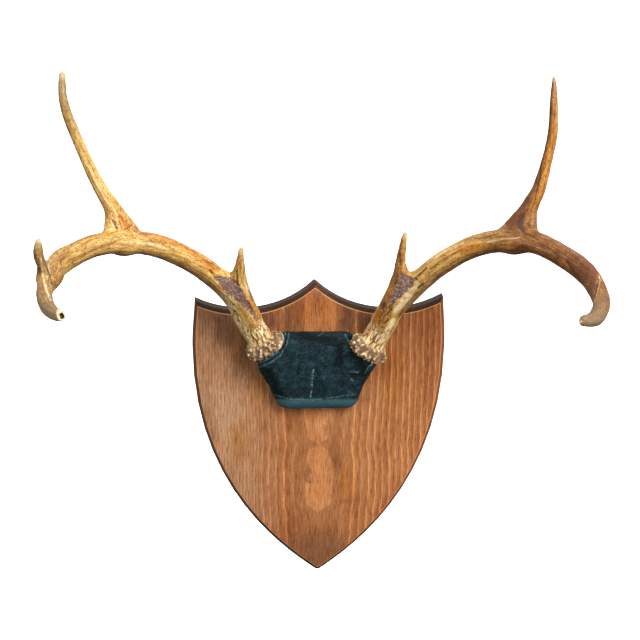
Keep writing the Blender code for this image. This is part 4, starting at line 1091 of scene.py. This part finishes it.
class ANTLER_PLAQUE_OT_antlers(bpy.types.Operator):
    """Both antlers, with their pearls, grooves, hollows and worn ends"""
    bl_idname = "antler_plaque.antlers"
    bl_label = "Antlers"

    def execute(self, context):
        for side, name, slot in ((LEFT, "left_antler", "antler_golden"),
                                 (RIGHT, "right_antler", "antler_tawny")):
            antler = antler_mesh(side, name)
            carve(side, antler)
            bpy.ops.object.shade_smooth()
            antler.data.materials.append(horn_material(side))
            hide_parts(ANTLERS[side])
            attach(antler, "root")
        return {"FINISHED"}


# Studio

SWEEP_BACK = 3.6
SWEEP_FRONT = 5.0
SWEEP_SIDE = 7.0
SWEEP_TOP = 5.0
SWEEP_ROUND = 1.2

# Softboxes: (place, width and height)
KEY_BOX = ((1.5, -3.0, 2.2), (1.9, 1.5))
SIDE_BOX = ((3.2, -1.6, 0.1), (1.2, 2.0))
FILL_BOX = ((-3.0, -2.6, 0.6), (2.0, 2.0))


def paper_material():
    """White seamless paper that glows with its own even white, so that it burns out to plain white."""
    material, tree = new_material("seamless paper")
    shader = add(tree, "BsdfPrincipled", {"Base Color": linear("#f4f4f2"), "Roughness": 0.9,
                                          "Emission Color": (1.0, 1.0, 1.0), "Emission Strength": 1.0})
    add(tree, "OutputMaterial", {"Surface": shader})
    return material


def studio_air():
    """Light of a white room with a dark floor: strong from overhead, weak from below."""
    air = bpy.data.worlds.new("studio air")
    air.use_nodes = True
    tree = air.node_tree
    tree.nodes.clear()
    way = add(tree, "TexCoord").outputs["Generated"]
    up = add(tree, "SeparateXYZ", {0: way}).outputs["Z"]
    share = add(tree, "MapRange", {"Value": up, "From Min": -1.0, "From Max": 1.0})
    light = add(tree, "ValToRGB", {"Fac": share}, stops=((0.0, 0.10), (0.40, 0.22), (0.60, 0.55), (1.0, 1.0)))
    background = add(tree, "Background", {"Color": light, "Strength": settings().studio.ambient})
    add(tree, "OutputWorld", {"Surface": background})
    return air


def softbox(name, place, size, power):
    bpy.ops.object.light_add(type="AREA", location=place)
    light = bpy.context.object
    light.name = name
    light.data.shape = "RECTANGLE"
    light.data.size, light.data.size_y = size
    light.data.energy = power
    light.rotation_euler = (CAMERA_TARGET - Vector(place)).to_track_quat("-Z", "Y").to_euler()
    return light


class ANTLER_PLAQUE_OT_studio(bpy.types.Operator):
    """White sweep, soft lights and the camera at the photo's angle"""
    bl_idname = "antler_plaque.studio"
    bl_label = "Studio"

    def execute(self, context):
        studio = settings().studio
        scene = context.scene
        floor = BOARD_LOW.z - studio.floor_drop
        bpy.ops.object.select_all(action="DESELECT")
        bpy.ops.mesh.primitive_plane_add(size=2, location=(0, 0, 0))
        sweep = context.object
        sweep.name = "paper_sweep"
        bpy.ops.object.mode_set(mode="EDIT")
        bpy.ops.transform.resize(value=(SWEEP_SIDE, (SWEEP_BACK + SWEEP_FRONT) / 2, 1))
        bpy.ops.transform.translate(value=(0, (SWEEP_BACK - SWEEP_FRONT) / 2, floor))
        bpy.ops.object.mode_set(mode="OBJECT")
        for edge in sweep.data.edges:
            edge.select = all(sweep.data.vertices[corner].co.y > 0 for corner in edge.vertices)
        for piece in (*sweep.data.vertices, *sweep.data.polygons):
            piece.select = False
        bpy.ops.object.mode_set(mode="EDIT")
        bpy.ops.mesh.select_mode(type="EDGE")
        bpy.ops.mesh.extrude_region_move(TRANSFORM_OT_translate={"value": (0, 0, SWEEP_TOP)})
        bpy.ops.object.mode_set(mode="OBJECT")
        finish_with(sweep, "BEVEL", width=SWEEP_ROUND, segments=12, limit_method="ANGLE")
        bpy.ops.object.shade_smooth()
        sweep.data.materials.append(paper_material())
        sweep.visible_diffuse = False
        sweep.visible_glossy = False

        softbox("key_softbox", *KEY_BOX, studio.key_power)
        softbox("side_softbox", *SIDE_BOX, studio.side_power)
        softbox("fill_softbox", *FILL_BOX, studio.fill_power)
        scene.world = studio_air()
        scene.view_settings.view_transform = "Standard"

        turn, back = camera_turn()
        bpy.ops.object.camera_add(location=CAMERA_TARGET + back * studio.distance, rotation=turn.to_euler())
        camera = context.object
        camera.name = "photo_camera"
        camera.data.sensor_width = SENSOR_MM
        camera.data.lens = FOCAL_PIXELS * SENSOR_MM / PHOTO_SIDE
        camera.data.clip_end = 50
        scene.camera = camera
        return {"FINISHED"}


class ANTLER_PLAQUE_PT_pieces(bpy.types.Panel):
    bl_idname = "ANTLER_PLAQUE_PT_pieces"
    bl_label = "Antler Plaque"
    bl_space_type = "VIEW_3D"
    bl_region_type = "UI"
    bl_category = "Antler Plaque"

    def draw(self, context):
        plaque = context.scene.antler_plaque
        for operator, group in ((ANTLER_PLAQUE_OT_board, plaque.wood),
                                (ANTLER_PLAQUE_OT_skull_cap, plaque.velvet),
                                (ANTLER_PLAQUE_OT_antlers, plaque.horn),
                                (ANTLER_PLAQUE_OT_studio, plaque.studio)):
            box = self.layout.box()
            box.operator(operator.bl_idname)
            for name in group.bl_rna.properties.keys():
                if name not in ("rna_type", "name"):
                    box.prop(group, name)


CLASSES = (AntlerPlaqueWood, AntlerPlaqueVelvet, AntlerPlaqueHorn, AntlerPlaqueStudio, AntlerPlaqueSettings,
           ANTLER_PLAQUE_OT_board, ANTLER_PLAQUE_OT_skull_cap, ANTLER_PLAQUE_OT_antlers,
           ANTLER_PLAQUE_OT_studio, ANTLER_PLAQUE_PT_pieces)


def register():
    for kind in CLASSES:
        bpy.utils.register_class(kind)
    bpy.types.Scene.antler_plaque = PointerProperty(type=AntlerPlaqueSettings)


def unregister():
    del bpy.types.Scene.antler_plaque
    for kind in reversed(CLASSES):
        bpy.utils.unregister_class(kind)


def main():
    register()
    bpy.ops.antler_plaque.board()
    bpy.ops.antler_plaque.skull_cap()
    bpy.ops.antler_plaque.antlers()
    bpy.ops.antler_plaque.studio()


if __name__ == "__main__":
    main()
